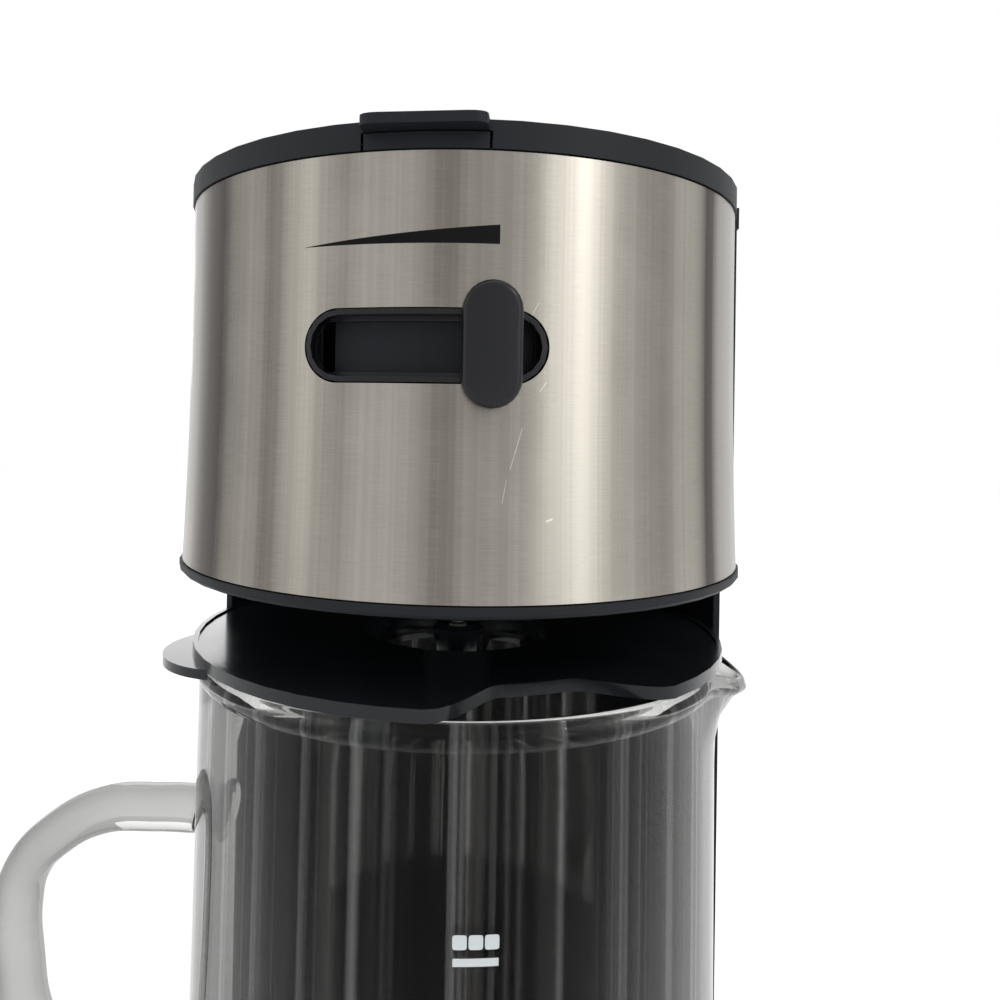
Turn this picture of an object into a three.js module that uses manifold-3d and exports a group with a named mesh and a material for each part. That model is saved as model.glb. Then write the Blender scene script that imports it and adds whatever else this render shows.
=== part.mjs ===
// Iced tea maker: a base with a seat for the glass pitcher, a rear column that holds the water
// tank, and a steel-wrapped brewing head that reaches out over the pitcher.
// Millimetres, +Z up. The front faces -Y, the pitcher's handle points to -X and its spout to +X.
// Inside each group the pieces keep the machine's own axes: X = Y = 0 is the axis of the pitcher
// and of the head, and Z = 0 is the table.
import * as THREE from "three";
import { mergeVertices } from "three/addons/utils/BufferGeometryUtils.js";
import Module from "manifold-3d";

const wasm = await Module();
wasm.setup();

// Clearances and shared walls
const GAP = 0.3;
const RUN_GAP = 0.6;
const CUT = 2;
const WALL = 2.4;
const THIN_WALL = 1.8;
const MERGE = 1e-4;

// Facets
const ROUND = 48;
const SMALL = 16;
const TINY = 8;
const COARSE = 6;

// Plan of the machine: the pitcher stands under the head, and the column goes round it
const HEAD_R = 77;
const HEAD_FLARE = 1.5;
const SIDE_STEP = 1;
const BASE_STEP = 0.5;
const HALF_WIDTH = HEAD_R + HEAD_FLARE + SIDE_STEP;
const BASE_R = HALF_WIDTH + BASE_STEP;
const GLASS_IN = 2;
const GLASS_FOOT_R = HEAD_R - GLASS_IN;
const COLUMN_CLEAR = 5;
const COLUMN_R = GLASS_FOOT_R + COLUMN_CLEAR;
const COLUMN_DEPTH = 35;
const BACK_Y = COLUMN_R + COLUMN_DEPTH;
const BACK_CORNER_R = 26;
const HEAD_SEAM_Y = 2;
const COLUMN_FRONT_Y = 20;
const COLUMN_TIP = 16;
const REAR_STEP = 1.5;

// Heights
const FOOT_H = 2.2;
const BASE_H = 21.5;
const COVER_H = 5.7;
const PITCHER_H = 182.4;
const HEAD_CLEAR = 23.1;
const LIP_H = 2.6;
const LIP_OUT = 0.6;
const LIP_CHAMFER = 0.8;
const BAND_H = 95;
const SKIRT_H = 6.1;

const COVER_Z = FOOT_H + GAP + BASE_H + GAP;
const SEAT_Z = COVER_Z + COVER_H;
const HEAD_Z = SEAT_Z + PITCHER_H + HEAD_CLEAR;
const BAND_Z = HEAD_Z + LIP_H + GAP;
const HEAD_TOP_Z = BAND_Z + BAND_H;
const LID_Z = HEAD_TOP_Z + GAP;
const LID_TOP_Z = LID_Z + SKIRT_H;

// Pitcher
const GLASS_TAPER = 1.6;
const GLASS_TOP_R = GLASS_FOOT_R - GLASS_TAPER;
const GLASS_WALL = 2.9;
const GLASS_FLOOR = 5;
const FOOT_ROUND = 7;
const BEAD_H = 5;
const BEAD_OUT = 1.1;
const SPOUT_OUT = 9.5;
const SPOUT_DIP = 7;
const SPOUT_H = 28;
const SPOUT_HALF_DEG = 24;
const HANDLE_BOW = 62.85;
const HANDLE_TOP = 126;
const HANDLE_FOOT = 24;
const HANDLE_THICK = 13.6;
const HANDLE_WIDE = 16;
const ROOT_FLARE = 4;
const HANDLE_STEPS = 24;
const HANDLE_SIDES = 12;
const FLOOR_ROUND = 5;
const HANDLE_SHARES = [
  [0, 0], [0.3, 0.002], [0.57, 0.025], [0.8, 0.105], [0.95, 0.21], [1, 0.34],
  [0.985, 0.5], [0.93, 0.68], [0.76, 0.86], [0.42, 0.975], [0, 1],
];

// Pitcher lid
const DISC_OVER = 0.8;
const DISC_R = GLASS_TOP_R + BEAD_OUT + DISC_OVER;
const DISC_T = 2.4;
const DISC_BEAD_T = 1.4;
const DISC_BEAD_H = 0.6;
const WELL_R = 27;
const WELL_DEPTH = 7.6;
const WEB_HALF = 8.2;
const BOSS_R = 7.4;
const BOSS_H = 9.1;
const BOSS_ROUND = 1.4;
const POUR_DEPTH = 17.4;
const POUR_DEG = 25;
const POUR_HALF_DEG = 24;
const POUR_FLAT_SHARE = 0.35;
const BAY_STEPS = 20;
const TAB_DEG = -64;
const TAB_R = 22.5;
const TAB_OUT = 7.7;
const TAB_DROP = 2;
const TAB_T = 2.5;
const LUG_DEGS = [-38, -9, 64, 120, 180, 240];
const LUG_W = 9;
const LUG_T = 1.8;
const LUG_H = 8;

// Strength slider on the front of the head
const SLOT_HALF = 26.6;
const SLOT_H = 16.1;
const SLOT_DOWN = 41.1;
const BEZEL_LIP = 1.2;
const BEZEL_DEPTH = 3.6;
const BEZEL_FLOOR_T = 1.2;
const BEZEL_PROUD = 0.4;
const WINDOW_HALF = 23.4;
const WINDOW_H = 11;
const WINDOW_ROUND = 2;
const KNOB_DEG = 10.6;
const KNOB_W = 12.4;
const KNOB_H = 26.2;
const KNOB_PROUD = 6.6;
const KNOB_CLEAR = 0.9;
const KNOB_DOME = 1.3;
const STEM_W = 5;
const STEM_H = 8;
const SHUTTER_T = 1.2;
const SHUTTER_H = 14;
const SHUTTER_HALF_DEG = 27.3;
const ARM_T = 1.5;
const ARM_W = 11;

// Brewing parts
const BAND_T = 0.6;
const SHELL_T = 3;
const LEDGE_W = 2.2;
const LEDGE_T = 2.4;
const LEDGE_DROP = 19;
const BOWL_R = HEAD_R - BAND_T - GAP - SHELL_T;
const BASKET_IN = 7.1;
const BASKET_R = BOWL_R - BASKET_IN;
const BASKET_TAPER = 4.5;
const BASKET_FOOT_R = BASKET_R - BASKET_TAPER;
const BASKET_LIFT = 14;
const VALVE_T = 1.7;
const VALVE_IN = 3.5;
const VALVE_W = 24;
const VALVE_OUT_R = BASKET_FOOT_R - VALVE_IN;
const VALVE_IN_R = VALVE_OUT_R - VALVE_W;
const PORT_R = 4;
const PORT_IN = 7;
const PORT_RING_R = VALVE_OUT_R - PORT_IN;
const PORT_COUNT = 4;
const RAIL_W = 12;
const RAIL_R = VALVE_IN_R + RAIL_W;
const RAIL_T = 2;
const FLOOR_HOLE_IN = 4;
const FLOOR_HOLE_R = VALVE_IN_R - FLOOR_HOLE_IN;
const FUNNEL_IN = 6;
const BASKET_FUNNEL_R = VALVE_IN_R - FUNNEL_IN;
const FUNNEL_DROP = 9;
const NOZZLE_R = 10;
const NOZZLE_BORE = 7.4;
const NOZZLE_CLEAR = 2.4;
const NOZZLE_SEAT_R = 4.2;
const NOZZLE_SEAT_T = 2;
const STOP_STROKE = 2.4;
const STOP_STEM_R = 2.5;
const STOP_HEAD_R = 6;
const STOP_HEAD_T = 2.4;
const SPRING_R = 4.7;
const SPRING_WIRE = 0.9;
const SPRING_TURNS = 5;
const SPRING_SIDES = 5;
const GUIDE_T = 2;
const GUIDE_R = 4.4;
const FILTER_IN = 6;
const FILTER_TAPER = 13;
const FILTER_R = BASKET_R - FILTER_IN;
const FILTER_FOOT_R = FILTER_R - FILTER_TAPER;
const FILTER_RIM = 3;
const FILTER_DEPTH = 46;
const FILTER_WALL = 1.4;
const MESH_T = 0.5;
const FILTER_WINDOWS = 8;
const WINDOW_SIDE_SHARE = 0.66;
const FLOOR_WINDOW_IN_SHARE = 0.3;

// Lid of the head
const LID_TAB_W = 27;
const LID_TAB_OUT = 6.6;
const LID_TAB_T = 2.3;
const LID_TAB_ROUND = 4;
const LID_OVERHANG = 0.6;
const LID_PLATE = 2.6;
const LID_BACK_GAP = 9;
const HINGE_IN = 5;
const HINGE_DROP = 3.1;
const HINGE_R = 3;
const PIN_R = 1.5;
const BARREL_HALF = 24;
const EAR_W = 5.5;
const EAR_FOOT = 4.6;
const SPRAY_R = 22;
const SPRAY_T = 2.4;
const SPRAY_HOLE_R = 1.3;
const SPRAY_RING_R = 13;
const SPRAY_HOLES = 8;
const CHANNEL_W = 15;
const CHANNEL_H = 6.4;
const SEAL_IN = 2.7;
const SEAL_T = 1.8;
const SEAL_H = 4.6;

// Column, tank and water path
const TANK_GAP = 0.4;
const TANK_FLOOR_LIFT = 3.5;
const TANK_TOP_DROP = 5.6;
const RISER_R = 4.5;
const RISER_BORE_GAP = 1.6;
const RISER_IN = 18;
const HEATER_BEND_R = 27;
const HOSE_SPAN = 19;
const OUTLET_X = -HEATER_BEND_R - HOSE_SPAN;
const OUTLET_IN = 31;
const OUTLET_Y = BACK_Y - OUTLET_IN;
const OUTLET_R = 6;
const OUTLET_T = 1.6;
const OUTLET_LEN = 13;
const TANK_SEAL_T = 3;
const VALVE_FLANGE_T = 1.6;
const VALVE_LEN = 6;
const VALVE_SLIT_R = 1;
const HEATER_R = 5.5;
const HEATER_LEG = 54;
const HEATER_FRONT_Y = OUTLET_Y - HEATER_LEG;
const HEATER_LIFT = 7.5;
const HOSE_R = 4;
const HOSE_WALL = 1.4;
const HOSE_GAP = 1.2;
const SENSOR_R = 8;
const SENSOR_H = 3;
const SENSOR_UP = 24;
const SENSOR_Y = HEATER_FRONT_Y + SENSOR_UP;
const FUSE_R = 7;

// Base fittings
const BASE_WALL = 2.6;
const MAT_IN = 3.6;
const MAT_R = BASE_R - MAT_IN;
const MAT_T = 1.1;
const FOOT_R = 8;
const FOOT_IN = 30.7;
const FRONT_FOOT_SHARES = [0.62, -0.56];
const BACK_FOOT_SHARE = 0.72;
const POST_R = 4;
const SCREW_R = 1.6;
const SCREW_HEAD_R = 3;
const SCREW_HEAD_T = 1.6;
const SCREW_BITE = 9;
const POST_IN = 11.65;
const FRONT_POST_SHARES = [0.84, -0.12];
const BACK_POST_SHARE = 0.4;
const BUTTON_W = 17;
const BUTTON_H = 9;
const BUTTON_LIFT = 11;
const BUTTON_PROUD = 2.2;
const BUTTON_STROKE = 1.5;
const FLANGE_OVER = 1.8;
const FLANGE_T = 1.2;
const SWITCH_W = 20;
const SWITCH_D = 14;
const SWITCH_H = 12;
const LAMP_R = 2;
const LAMP_X = 17;
const LAMP_LEN = 5;
const GLAND_IN = 33.5;
const GLAND_X = HALF_WIDTH - GLAND_IN;
const GLAND_R = 6;
const GLAND_BORE = 3.3;
const GLAND_OUT = 7;

// Geometry helpers

const radians = (degrees) => THREE.MathUtils.degToRad(degrees);

/** A point in plan at a radius, with its angle counted from the front towards +X. */
const around = (radius, degrees) =>
  new THREE.Vector2(radius * Math.sin(radians(degrees)), -radius * Math.cos(radians(degrees)));

/** A three.js geometry as a manifold solid, on welded positions and without collapsed faces. */
function solid(geometry) {
  const loose = geometry.index ? geometry.toNonIndexed() : geometry;
  const bare = new THREE.BufferGeometry();
  bare.setAttribute("position", loose.getAttribute("position"));
  const welded = mergeVertices(bare, MERGE);
  const faces = [];
  for (let i = 0; i < welded.index.count; i += 3) {
    const [a, b, c] = [0, 1, 2].map((k) => welded.index.array[i + k]);
    if (a !== b && b !== c && c !== a) faces.push(a, b, c);
  }
  const mesh = new wasm.Mesh({
    numProp: 3,
    vertProperties: welded.getAttribute("position").array,
    triVerts: Uint32Array.from(faces),
  });
  return new wasm.Manifold(mesh);
}

/** A manifold solid back as a three.js geometry. */
function surface(body) {
  const mesh = body.getMesh();
  const geometry = new THREE.BufferGeometry();
  geometry.setAttribute("position", new THREE.BufferAttribute(mesh.vertProperties, 3));
  geometry.setIndex(new THREE.BufferAttribute(mesh.triVerts, 1));
  geometry.computeVertexNormals();
  return geometry;
}

const join = (first, ...others) => others.reduce((whole, piece) => whole.add(piece), first);
const cut = (first, ...others) => others.reduce((whole, piece) => whole.subtract(piece), first);

/** A solid moved to another place. */
const moved = (body, x, y, z = 0) => solid(surface(body).translate(x, y, z));

/** Points on an arc in plan, with the facets of a full circle cut to its angle. */
function arc(x, y, radius, from, to, facets = ROUND) {
  const steps = Math.max(1, Math.round((Math.abs(to - from) / (2 * Math.PI)) * facets));
  return Array.from({ length: steps + 1 }, (_, i) => {
    const angle = from + ((to - from) * i) / steps;
    return new THREE.Vector2(x + radius * Math.cos(angle), y + radius * Math.sin(angle));
  });
}

/** A list of points in plan, raised from z0 to z1. */
function prism(points, z0, z1) {
  const height = { depth: z1 - z0, bevelEnabled: false };
  const geometry = new THREE.ExtrudeGeometry(new THREE.Shape(points), height);
  return solid(geometry.translate(0, 0, z0));
}

/** A profile of [radius, z] pairs turned about the Z axis. */
function turned(profile, segments = ROUND) {
  const points = profile.map(([radius, z]) => new THREE.Vector2(radius, z));
  if (THREE.ShapeUtils.area(points) < 0) points.reverse();
  const closed = points[0].x > 0 || points[points.length - 1].x > 0;
  if (closed) points.push(points[0].clone());
  return solid(new THREE.LatheGeometry(points, segments).rotateX(Math.PI / 2));
}

/** A tube wall between two radii. */
const ring = (inner, outer, z0, z1, segments = ROUND) =>
  turned([[inner, z0], [outer, z0], [outer, z1], [inner, z1]], segments);

const rod = (radius, z0, z1, segments = SMALL) =>
  turned([[0, z0], [radius, z0], [radius, z1], [0, z1]], segments);

function block(x0, x1, y0, y1, z0, z1) {
  const geometry = new THREE.BoxGeometry(x1 - x0, y1 - y0, z1 - z0);
  return solid(geometry.translate((x0 + x1) / 2, (y0 + y1) / 2, (z0 + z1) / 2));
}

/** A rod about the Z axis, laid down along Y from y0 to y1 and set at x and z. */
function rodAlongY(radius, y0, y1, x, z, segments = SMALL) {
  const geometry = new THREE.CylinderGeometry(radius, radius, y1 - y0, segments);
  return solid(geometry.translate(x, (y0 + y1) / 2, z));
}

function rodAlongX(radius, x0, x1, y, z, segments = SMALL) {
  const geometry = new THREE.CylinderGeometry(radius, radius, x1 - x0, segments);
  return solid(geometry.rotateZ(Math.PI / 2).translate((x0 + x1) / 2, y, z));
}

/** A curve given by the point it reaches at each share of its way. */
class Path extends THREE.Curve {
  constructor(pointAt) {
    super();
    this.pointAt = pointAt;
  }

  getPoint(share, target = new THREE.Vector3()) {
    return target.copy(this.pointAt(share));
  }
}

/** A round or oval section swept along a curve. */
function swept(curve, halfX, halfY, steps, sides = TINY) {
  const section = new THREE.Shape();
  section.absellipse(0, 0, halfX, halfY, 0, Math.PI * 2);
  const points = section.getSpacedPoints(sides).slice(0, sides);
  const geometry = new THREE.ExtrudeGeometry(new THREE.Shape(points), {
    steps,
    extrudePath: curve,
    bevelEnabled: false,
  });
  return solid(geometry);
}

/** A bar that faces -Y with round corners, centred at x and z, from y0 to y1, with an optional dome. */
function frontBar(halfWidth, height, cornerR, x, z, y0, y1, { dome = 0, facets = SMALL } = {}) {
  const [w, h, r] = [halfWidth - dome, height / 2 - dome, cornerR - dome];
  const corners = [[w - r, r - h], [w - r, h - r], [r - w, h - r], [r - w, r - h]];
  const points = corners.flatMap(([cx, cy], i) => {
    const from = (Math.PI / 2) * (i - 1);
    return arc(cx, cy, r, from, from + Math.PI / 2, facets);
  });
  const geometry = new THREE.ExtrudeGeometry(new THREE.Shape(points), {
    depth: y1 - y0 - 2 * dome,
    bevelEnabled: dome > 0,
    bevelThickness: dome,
    bevelSize: dome,
    bevelSegments: 3,
  });
  return solid(geometry.rotateX(Math.PI / 2).translate(x, y1 - dome, z));
}

/** The round corners at the back of the machine, from +X to -X. */
const backCorners = (halfWidth, backY, r) => [
  ...arc(halfWidth - r, backY - r, r, 0, Math.PI / 2, ROUND),
  ...arc(r - halfWidth, backY - r, r, Math.PI / 2, Math.PI, ROUND),
];

/** The plan of the machine: a round front, and straight sides from a seam to the back. */
function footprint(frontR, halfWidth, seamY, backY, cornerR) {
  return [
    ...arc(0, 0, frontR, Math.PI, 2 * Math.PI),
    new THREE.Vector2(frontR, seamY),
    new THREE.Vector2(halfWidth, seamY + GAP),
    ...backCorners(halfWidth, backY, cornerR),
    new THREE.Vector2(-halfWidth, seamY + GAP),
    new THREE.Vector2(-frontR, seamY),
  ];
}

/** The plan of the column: the machine's rear with a hollow front that goes round the pitcher. */
function crescent(hollowR, halfWidth, frontY, backY, cornerR) {
  const from = Math.asin(frontY / hollowR);
  return [
    new THREE.Vector2(halfWidth, frontY),
    ...backCorners(halfWidth, backY, cornerR),
    new THREE.Vector2(-halfWidth, frontY),
    ...arc(0, 0, hollowR, Math.PI - from, from),
  ];
}

/** The half of space in front of a Y value, as a block round the whole machine. */
const frontOf = (y) =>
  block(-BACK_Y * 2, BACK_Y * 2, -BACK_Y * 2, y, -BACK_Y, LID_TOP_Z + BACK_Y);

/** A solid turned about the Z axis, from the front towards +X. */
function turnedBy(body, degrees) {
  return solid(surface(body).rotateZ(radians(degrees)));
}

// Materials

const paint = (color, roughness, metalness = 0) =>
  new THREE.MeshStandardMaterial({ color, roughness, metalness });
const MATTE_BLACK = paint(0x2b2e33, 0.6);
const GLOSS_BLACK = paint(0x16191d, 0.25);
const STEEL = paint(0xa39d92, 0.35, 1);
const GLASS = paint(0xdfe6e6, 0.05);
const CLEAR_PLASTIC = paint(0xb9c2c6, 0.2);
const RUBBER = paint(0x202020, 0.9);
const SILICONE = paint(0xd8d8d2, 0.7);
const ALUMINIUM = paint(0xb4b7ba, 0.4, 1);
const GOLD_MESH = paint(0xb79a56, 0.35, 1);
const RED_LENS = paint(0xb5332a, 0.2);
const WIRE = paint(0x9a9da0, 0.3, 1);

function add(group, name, body, material) {
  const mesh = new THREE.Mesh(surface(body), material);
  mesh.name = name;
  group.add(mesh);
  return mesh;
}

// Radius of the head's steel at a height: straight at the top and flared at the foot.
function bandRadius(z) {
  const down = (HEAD_TOP_Z - z) / BAND_H;
  return HEAD_R + HEAD_FLARE * down ** 3;
}

/** A wall that follows the flare of the head between two offsets inside the steel's surface. */
function flaredWall(insetIn, insetOut, z0, z1, steps = 4) {
  const levels = Array.from({ length: steps + 1 }, (_, i) => z0 + ((z1 - z0) * i) / steps);
  const outside = levels.map((z) => [bandRadius(z) - insetOut, z]);
  const inside = levels.map((z) => [bandRadius(z) - insetIn, z]).reverse();
  return turned([...outside, ...inside]);
}

// Base

const basePlan = (inset) =>
  footprint(BASE_R - inset, HALF_WIDTH - inset, HEAD_SEAM_Y, BACK_Y - inset, BACK_CORNER_R - inset);
const BASE_Z = FOOT_H + GAP;
const BASE_TOP_Z = BASE_Z + BASE_H;
const BUTTON_Z = BASE_Z + BUTTON_LIFT;
const RISER_Y = BACK_Y - RISER_IN;

/** Two places near the front and two near the back, left and right of the middle. */
function fourPlaces([frontX, frontY], backX, backIn) {
  return [
    [-frontX * HALF_WIDTH, frontY * HALF_WIDTH],
    [frontX * HALF_WIDTH, frontY * HALF_WIDTH],
    [-backX * HALF_WIDTH, BACK_Y - backIn],
    [backX * HALF_WIDTH, BACK_Y - backIn],
  ];
}

const postPlaces = fourPlaces(FRONT_POST_SHARES, BACK_POST_SHARE, POST_IN);
const footPlaces = fourPlaces(FRONT_FOOT_SHARES, BACK_FOOT_SHARE, FOOT_IN);

function baseHousing() {
  const tray = cut(
    prism(basePlan(0), BASE_Z, BASE_TOP_Z),
    prism(basePlan(BASE_WALL), BASE_Z + BASE_WALL, BASE_TOP_Z + CUT),
  );
  const holes = postPlaces.map(([x, y]) =>
    moved(rod(SCREW_R + GAP, BASE_Z - CUT, BASE_Z + BASE_WALL + CUT, TINY), x, y),
  );
  const button = frontBar(
    BUTTON_W / 2 + GAP, BUTTON_H + 2 * GAP, BUTTON_H / 2, 0, BUTTON_Z,
    -BASE_R - CUT, -BASE_R + BASE_WALL + CUT,
  );
  const lamp = rodAlongY(LAMP_R + GAP, -BASE_R - CUT, CUT - BASE_R + BASE_WALL * 2, LAMP_X, BUTTON_Z, TINY);
  const gland = rodAlongY(GLAND_R + GAP, BACK_Y - BASE_WALL - CUT, BACK_Y + CUT, GLAND_X, BUTTON_Z);
  return cut(tray, ...holes, button, lamp, gland);
}

function baseCover() {
  const plate = prism(basePlan(0), COVER_Z, SEAT_Z);
  const matSeat = rod(MAT_R + GAP, SEAT_Z - GAP - MAT_T - GAP, SEAT_Z + CUT, ROUND);
  const postFoot = BASE_Z + BASE_WALL + GAP;
  const posts = postPlaces.map(([x, y]) =>
    moved(rod(POST_R, postFoot, COVER_Z + GAP, TINY), x, y),
  );
  const pilots = postPlaces.map(([x, y]) =>
    moved(rod(SCREW_R + GAP, postFoot - CUT, postFoot + SCREW_BITE, TINY), x, y),
  );
  const riser = moved(rod(RISER_R + RUN_GAP, COVER_Z - CUT, SEAT_Z + CUT), 0, RISER_Y);
  const outlet = moved(rod(OUTLET_R + RUN_GAP, COVER_Z - CUT, SEAT_Z + CUT), OUTLET_X, OUTLET_Y);
  return cut(join(cut(plate, matSeat), ...posts), ...pilots, riser, outlet);
}

function foot() {
  return turned([[0, 0], [FOOT_R - GAP, 0], [FOOT_R, GAP], [FOOT_R, FOOT_H], [0, FOOT_H]], SMALL);
}

function screw() {
  const top = SCREW_HEAD_T;
  return turned(
    [[0, 0], [SCREW_HEAD_R - GAP, 0], [SCREW_HEAD_R, GAP], [SCREW_HEAD_R, top], [SCREW_R, top],
      [SCREW_R, top + BASE_WALL + SCREW_BITE], [0, top + BASE_WALL + SCREW_BITE]],
    TINY,
  );
}

/** The button: a cap that stands out of the wall, a flange behind it and a stem to the switch. */
function powerButton() {
  const capFront = -BASE_R - BUTTON_PROUD;
  const flangeY = -BASE_R + BASE_WALL + RUN_GAP + GAP;
  const cap = frontBar(BUTTON_W / 2, BUTTON_H, BUTTON_H / 2, 0, BUTTON_Z, capFront, flangeY + GAP);
  const flange = frontBar(
    BUTTON_W / 2 + FLANGE_OVER, BUTTON_H + 2 * FLANGE_OVER, BUTTON_H / 2, 0, BUTTON_Z,
    flangeY, flangeY + FLANGE_T,
  );
  return join(cap, flange);
}

const SWITCH_Y = -BASE_R + BASE_WALL + RUN_GAP + GAP + FLANGE_T + BUTTON_STROKE + GAP;

function switchBody() {
  const half = SWITCH_W / 2;
  const low = BUTTON_Z - SWITCH_H / 2;
  const body = block(-half, half, SWITCH_Y, SWITCH_Y + SWITCH_D, low, low + SWITCH_H);
  const post = block(
    -half, half, SWITCH_Y + THIN_WALL, SWITCH_Y + SWITCH_D - THIN_WALL, BASE_Z + BASE_WALL + GAP, low + GAP,
  );
  return join(body, post);
}

function lampLens() {
  const front = -Math.sqrt(BASE_R ** 2 - LAMP_X ** 2) - GAP;
  return rodAlongY(LAMP_R, front, front + LAMP_LEN, LAMP_X, BUTTON_Z, TINY);
}

function cordGland() {
  const inside = BACK_Y - BASE_WALL - RUN_GAP - THIN_WALL;
  const bush = rodAlongY(GLAND_R, inside, BACK_Y + GLAND_OUT, GLAND_X, BUTTON_Z);
  const collar = rodAlongY(GLAND_R + THIN_WALL, BACK_Y + GAP, BACK_Y + GAP + THIN_WALL, GLAND_X, BUTTON_Z);
  const bore = rodAlongY(GLAND_BORE, inside - CUT, BACK_Y + GLAND_OUT + CUT, GLAND_X, BUTTON_Z);
  return cut(join(bush, collar), bore);
}

// Heater and water path in the base

const BEND_STEPS = 6;
const HEAD_REAR_R = HEAD_R - REAR_STEP;
const COLUMN_Z = SEAT_Z + GAP;
const LID_BACK_Y = BACK_Y - LID_BACK_GAP;
const HINGE_Y = BACK_Y - HINGE_IN;
const HINGE_Z = LID_TOP_Z - HINGE_DROP;
const PLATE_Z = LID_TOP_Z - LID_PLATE;
const CHANNEL_Z = PLATE_Z - GAP - CHANNEL_H;
const TANK_TOP_Z = HEAD_TOP_Z - TANK_TOP_DROP;
const HEATER_Z = BASE_Z + BASE_WALL + HEATER_LIFT;
const HEATER_BACK_Y = OUTLET_Y;

/** A bent heating tube: a half circle under the seat and two legs to the back. */
function heaterTube() {
  const bendAt = (angle) => {
    const [x, y] = [HEATER_BEND_R * Math.cos(angle), HEATER_BEND_R * Math.sin(angle)];
    return new THREE.Vector3(x, HEATER_FRONT_Y + y, HEATER_Z);
  };
  const bend = new THREE.CatmullRomCurve3(
    Array.from({ length: BEND_STEPS + 1 }, (_, i) => bendAt(Math.PI * (1 + i / BEND_STEPS))),
  );
  const legs = [-HEATER_BEND_R, HEATER_BEND_R].map((x) =>
    rodAlongY(HEATER_R, HEATER_FRONT_Y - GAP, HEATER_BACK_Y, x, HEATER_Z, SMALL),
  );
  return join(swept(bend, HEATER_R, HEATER_R, BEND_STEPS * 2, SMALL), ...legs);
}

/** A saddle that stands on the base's floor and carries the heater's bend. */
function heaterCradle() {
  const floor = BASE_Z + BASE_WALL + GAP;
  const reach = HEATER_BEND_R + HEATER_R + THIN_WALL;
  const bar = block(
    -reach, reach, HEATER_FRONT_Y + HEATER_BEND_R, HEATER_FRONT_Y + HEATER_BEND_R + HEATER_R * 2,
    floor, HEATER_Z,
  );
  const grooves = [-HEATER_BEND_R, HEATER_BEND_R].map((x) =>
    rodAlongY(HEATER_R + GAP, 0, HEATER_BACK_Y, x, HEATER_Z, SMALL),
  );
  return cut(bar, ...grooves);
}

/** A round sensor that rides on top of one leg of the heater. */
function sensor(radius, x, y) {
  const topZ = HEATER_Z + HEATER_R + GAP + SENSOR_H;
  const body = moved(rod(radius, HEATER_Z, topZ), x, y);
  return cut(body, rodAlongY(HEATER_R + GAP, 0, BACK_Y, x, HEATER_Z));
}

const TANK_FLOOR_Z = COLUMN_Z + TANK_FLOOR_LIFT;
const SPIGOT_FOOT_Z = TANK_FLOOR_Z + THIN_WALL - OUTLET_LEN;

/** A hollow tube along a curve. */
function hose(curve, radius, steps) {
  const boreR = radius - HOSE_WALL;
  const points = curve.getPoints(steps);
  const [first, last] = [points[0], points[steps]];
  const before = first.clone().add(curve.getTangent(0).multiplyScalar(-GAP));
  const after = last.clone().add(curve.getTangent(1).multiplyScalar(GAP));
  const bore = new THREE.CatmullRomCurve3([before, ...points, after]);
  return cut(swept(curve, radius, radius, steps, TINY), swept(bore, boreR, boreR, steps + 2, TINY));
}

/** From the tank's spigot down and round to the heater's inlet. */
function inletHose() {
  const drop = SPIGOT_FOOT_Z - GAP - HEATER_Z;
  const middleX = (OUTLET_X - HEATER_BEND_R) / 2;
  const bendR = middleX - OUTLET_X;
  const path = new Path((share) => {
    const angle = Math.PI * (1 - share ** 2);
    const x = middleX + bendR * Math.cos(angle);
    const y = OUTLET_Y + HOSE_GAP * share + bendR * Math.sin(angle);
    return new THREE.Vector3(x, y, HEATER_Z + drop * (1 - share) ** 2);
  });
  return hose(path, HOSE_R, BEND_STEPS * 2);
}

/** From the heater's outlet round to the middle of the back, and straight up to the lid. */
function riserTube() {
  const bendR = RISER_Y - OUTLET_Y - HOSE_GAP;
  const [cornerX, cornerY] = [HEATER_BEND_R - bendR, OUTLET_Y + HOSE_GAP];
  const turnZ = HEATER_Z + RISER_R * 2;
  const side = Array.from({ length: BEND_STEPS + 1 }, (_, i) => {
    const angle = ((Math.PI / 2) * i) / BEND_STEPS;
    return new THREE.Vector3(cornerX + bendR * Math.cos(angle), cornerY + bendR * Math.sin(angle), HEATER_Z);
  });
  const lift = Array.from({ length: BEND_STEPS + 1 }, (_, i) => {
    const angle = ((Math.PI / 2) * i) / BEND_STEPS;
    const radius = turnZ - HEATER_Z;
    return new THREE.Vector3(radius * (1 - Math.sin(angle)), RISER_Y, turnZ - radius * Math.cos(angle));
  });
  const foot = hose(new THREE.CatmullRomCurve3([...side, ...lift]), RISER_R, BEND_STEPS * 3);
  const post = ring(RISER_R - HOSE_WALL, RISER_R, turnZ - GAP, CHANNEL_Z - RUN_GAP, SMALL);
  return join(foot, moved(post, 0, RISER_Y));
}

// Column

/** The slot through which the lid's duct crosses the walls between column and head. */
const channelNotch = () =>
  block(
    -CHANNEL_W / 2 - RUN_GAP, CHANNEL_W / 2 + RUN_GAP, BASKET_R, LID_BACK_Y - LID_BACK_GAP,
    CHANNEL_Z - RUN_GAP, LID_TOP_Z,
  );

/** The column's plan with its wall, and any more, taken off all round. */
function innerPlan(inset) {
  return crescent(
    COLUMN_R + inset, HALF_WIDTH - inset, COLUMN_FRONT_Y + COLUMN_TIP + inset,
    BACK_Y - inset, BACK_CORNER_R - inset,
  );
}

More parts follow.
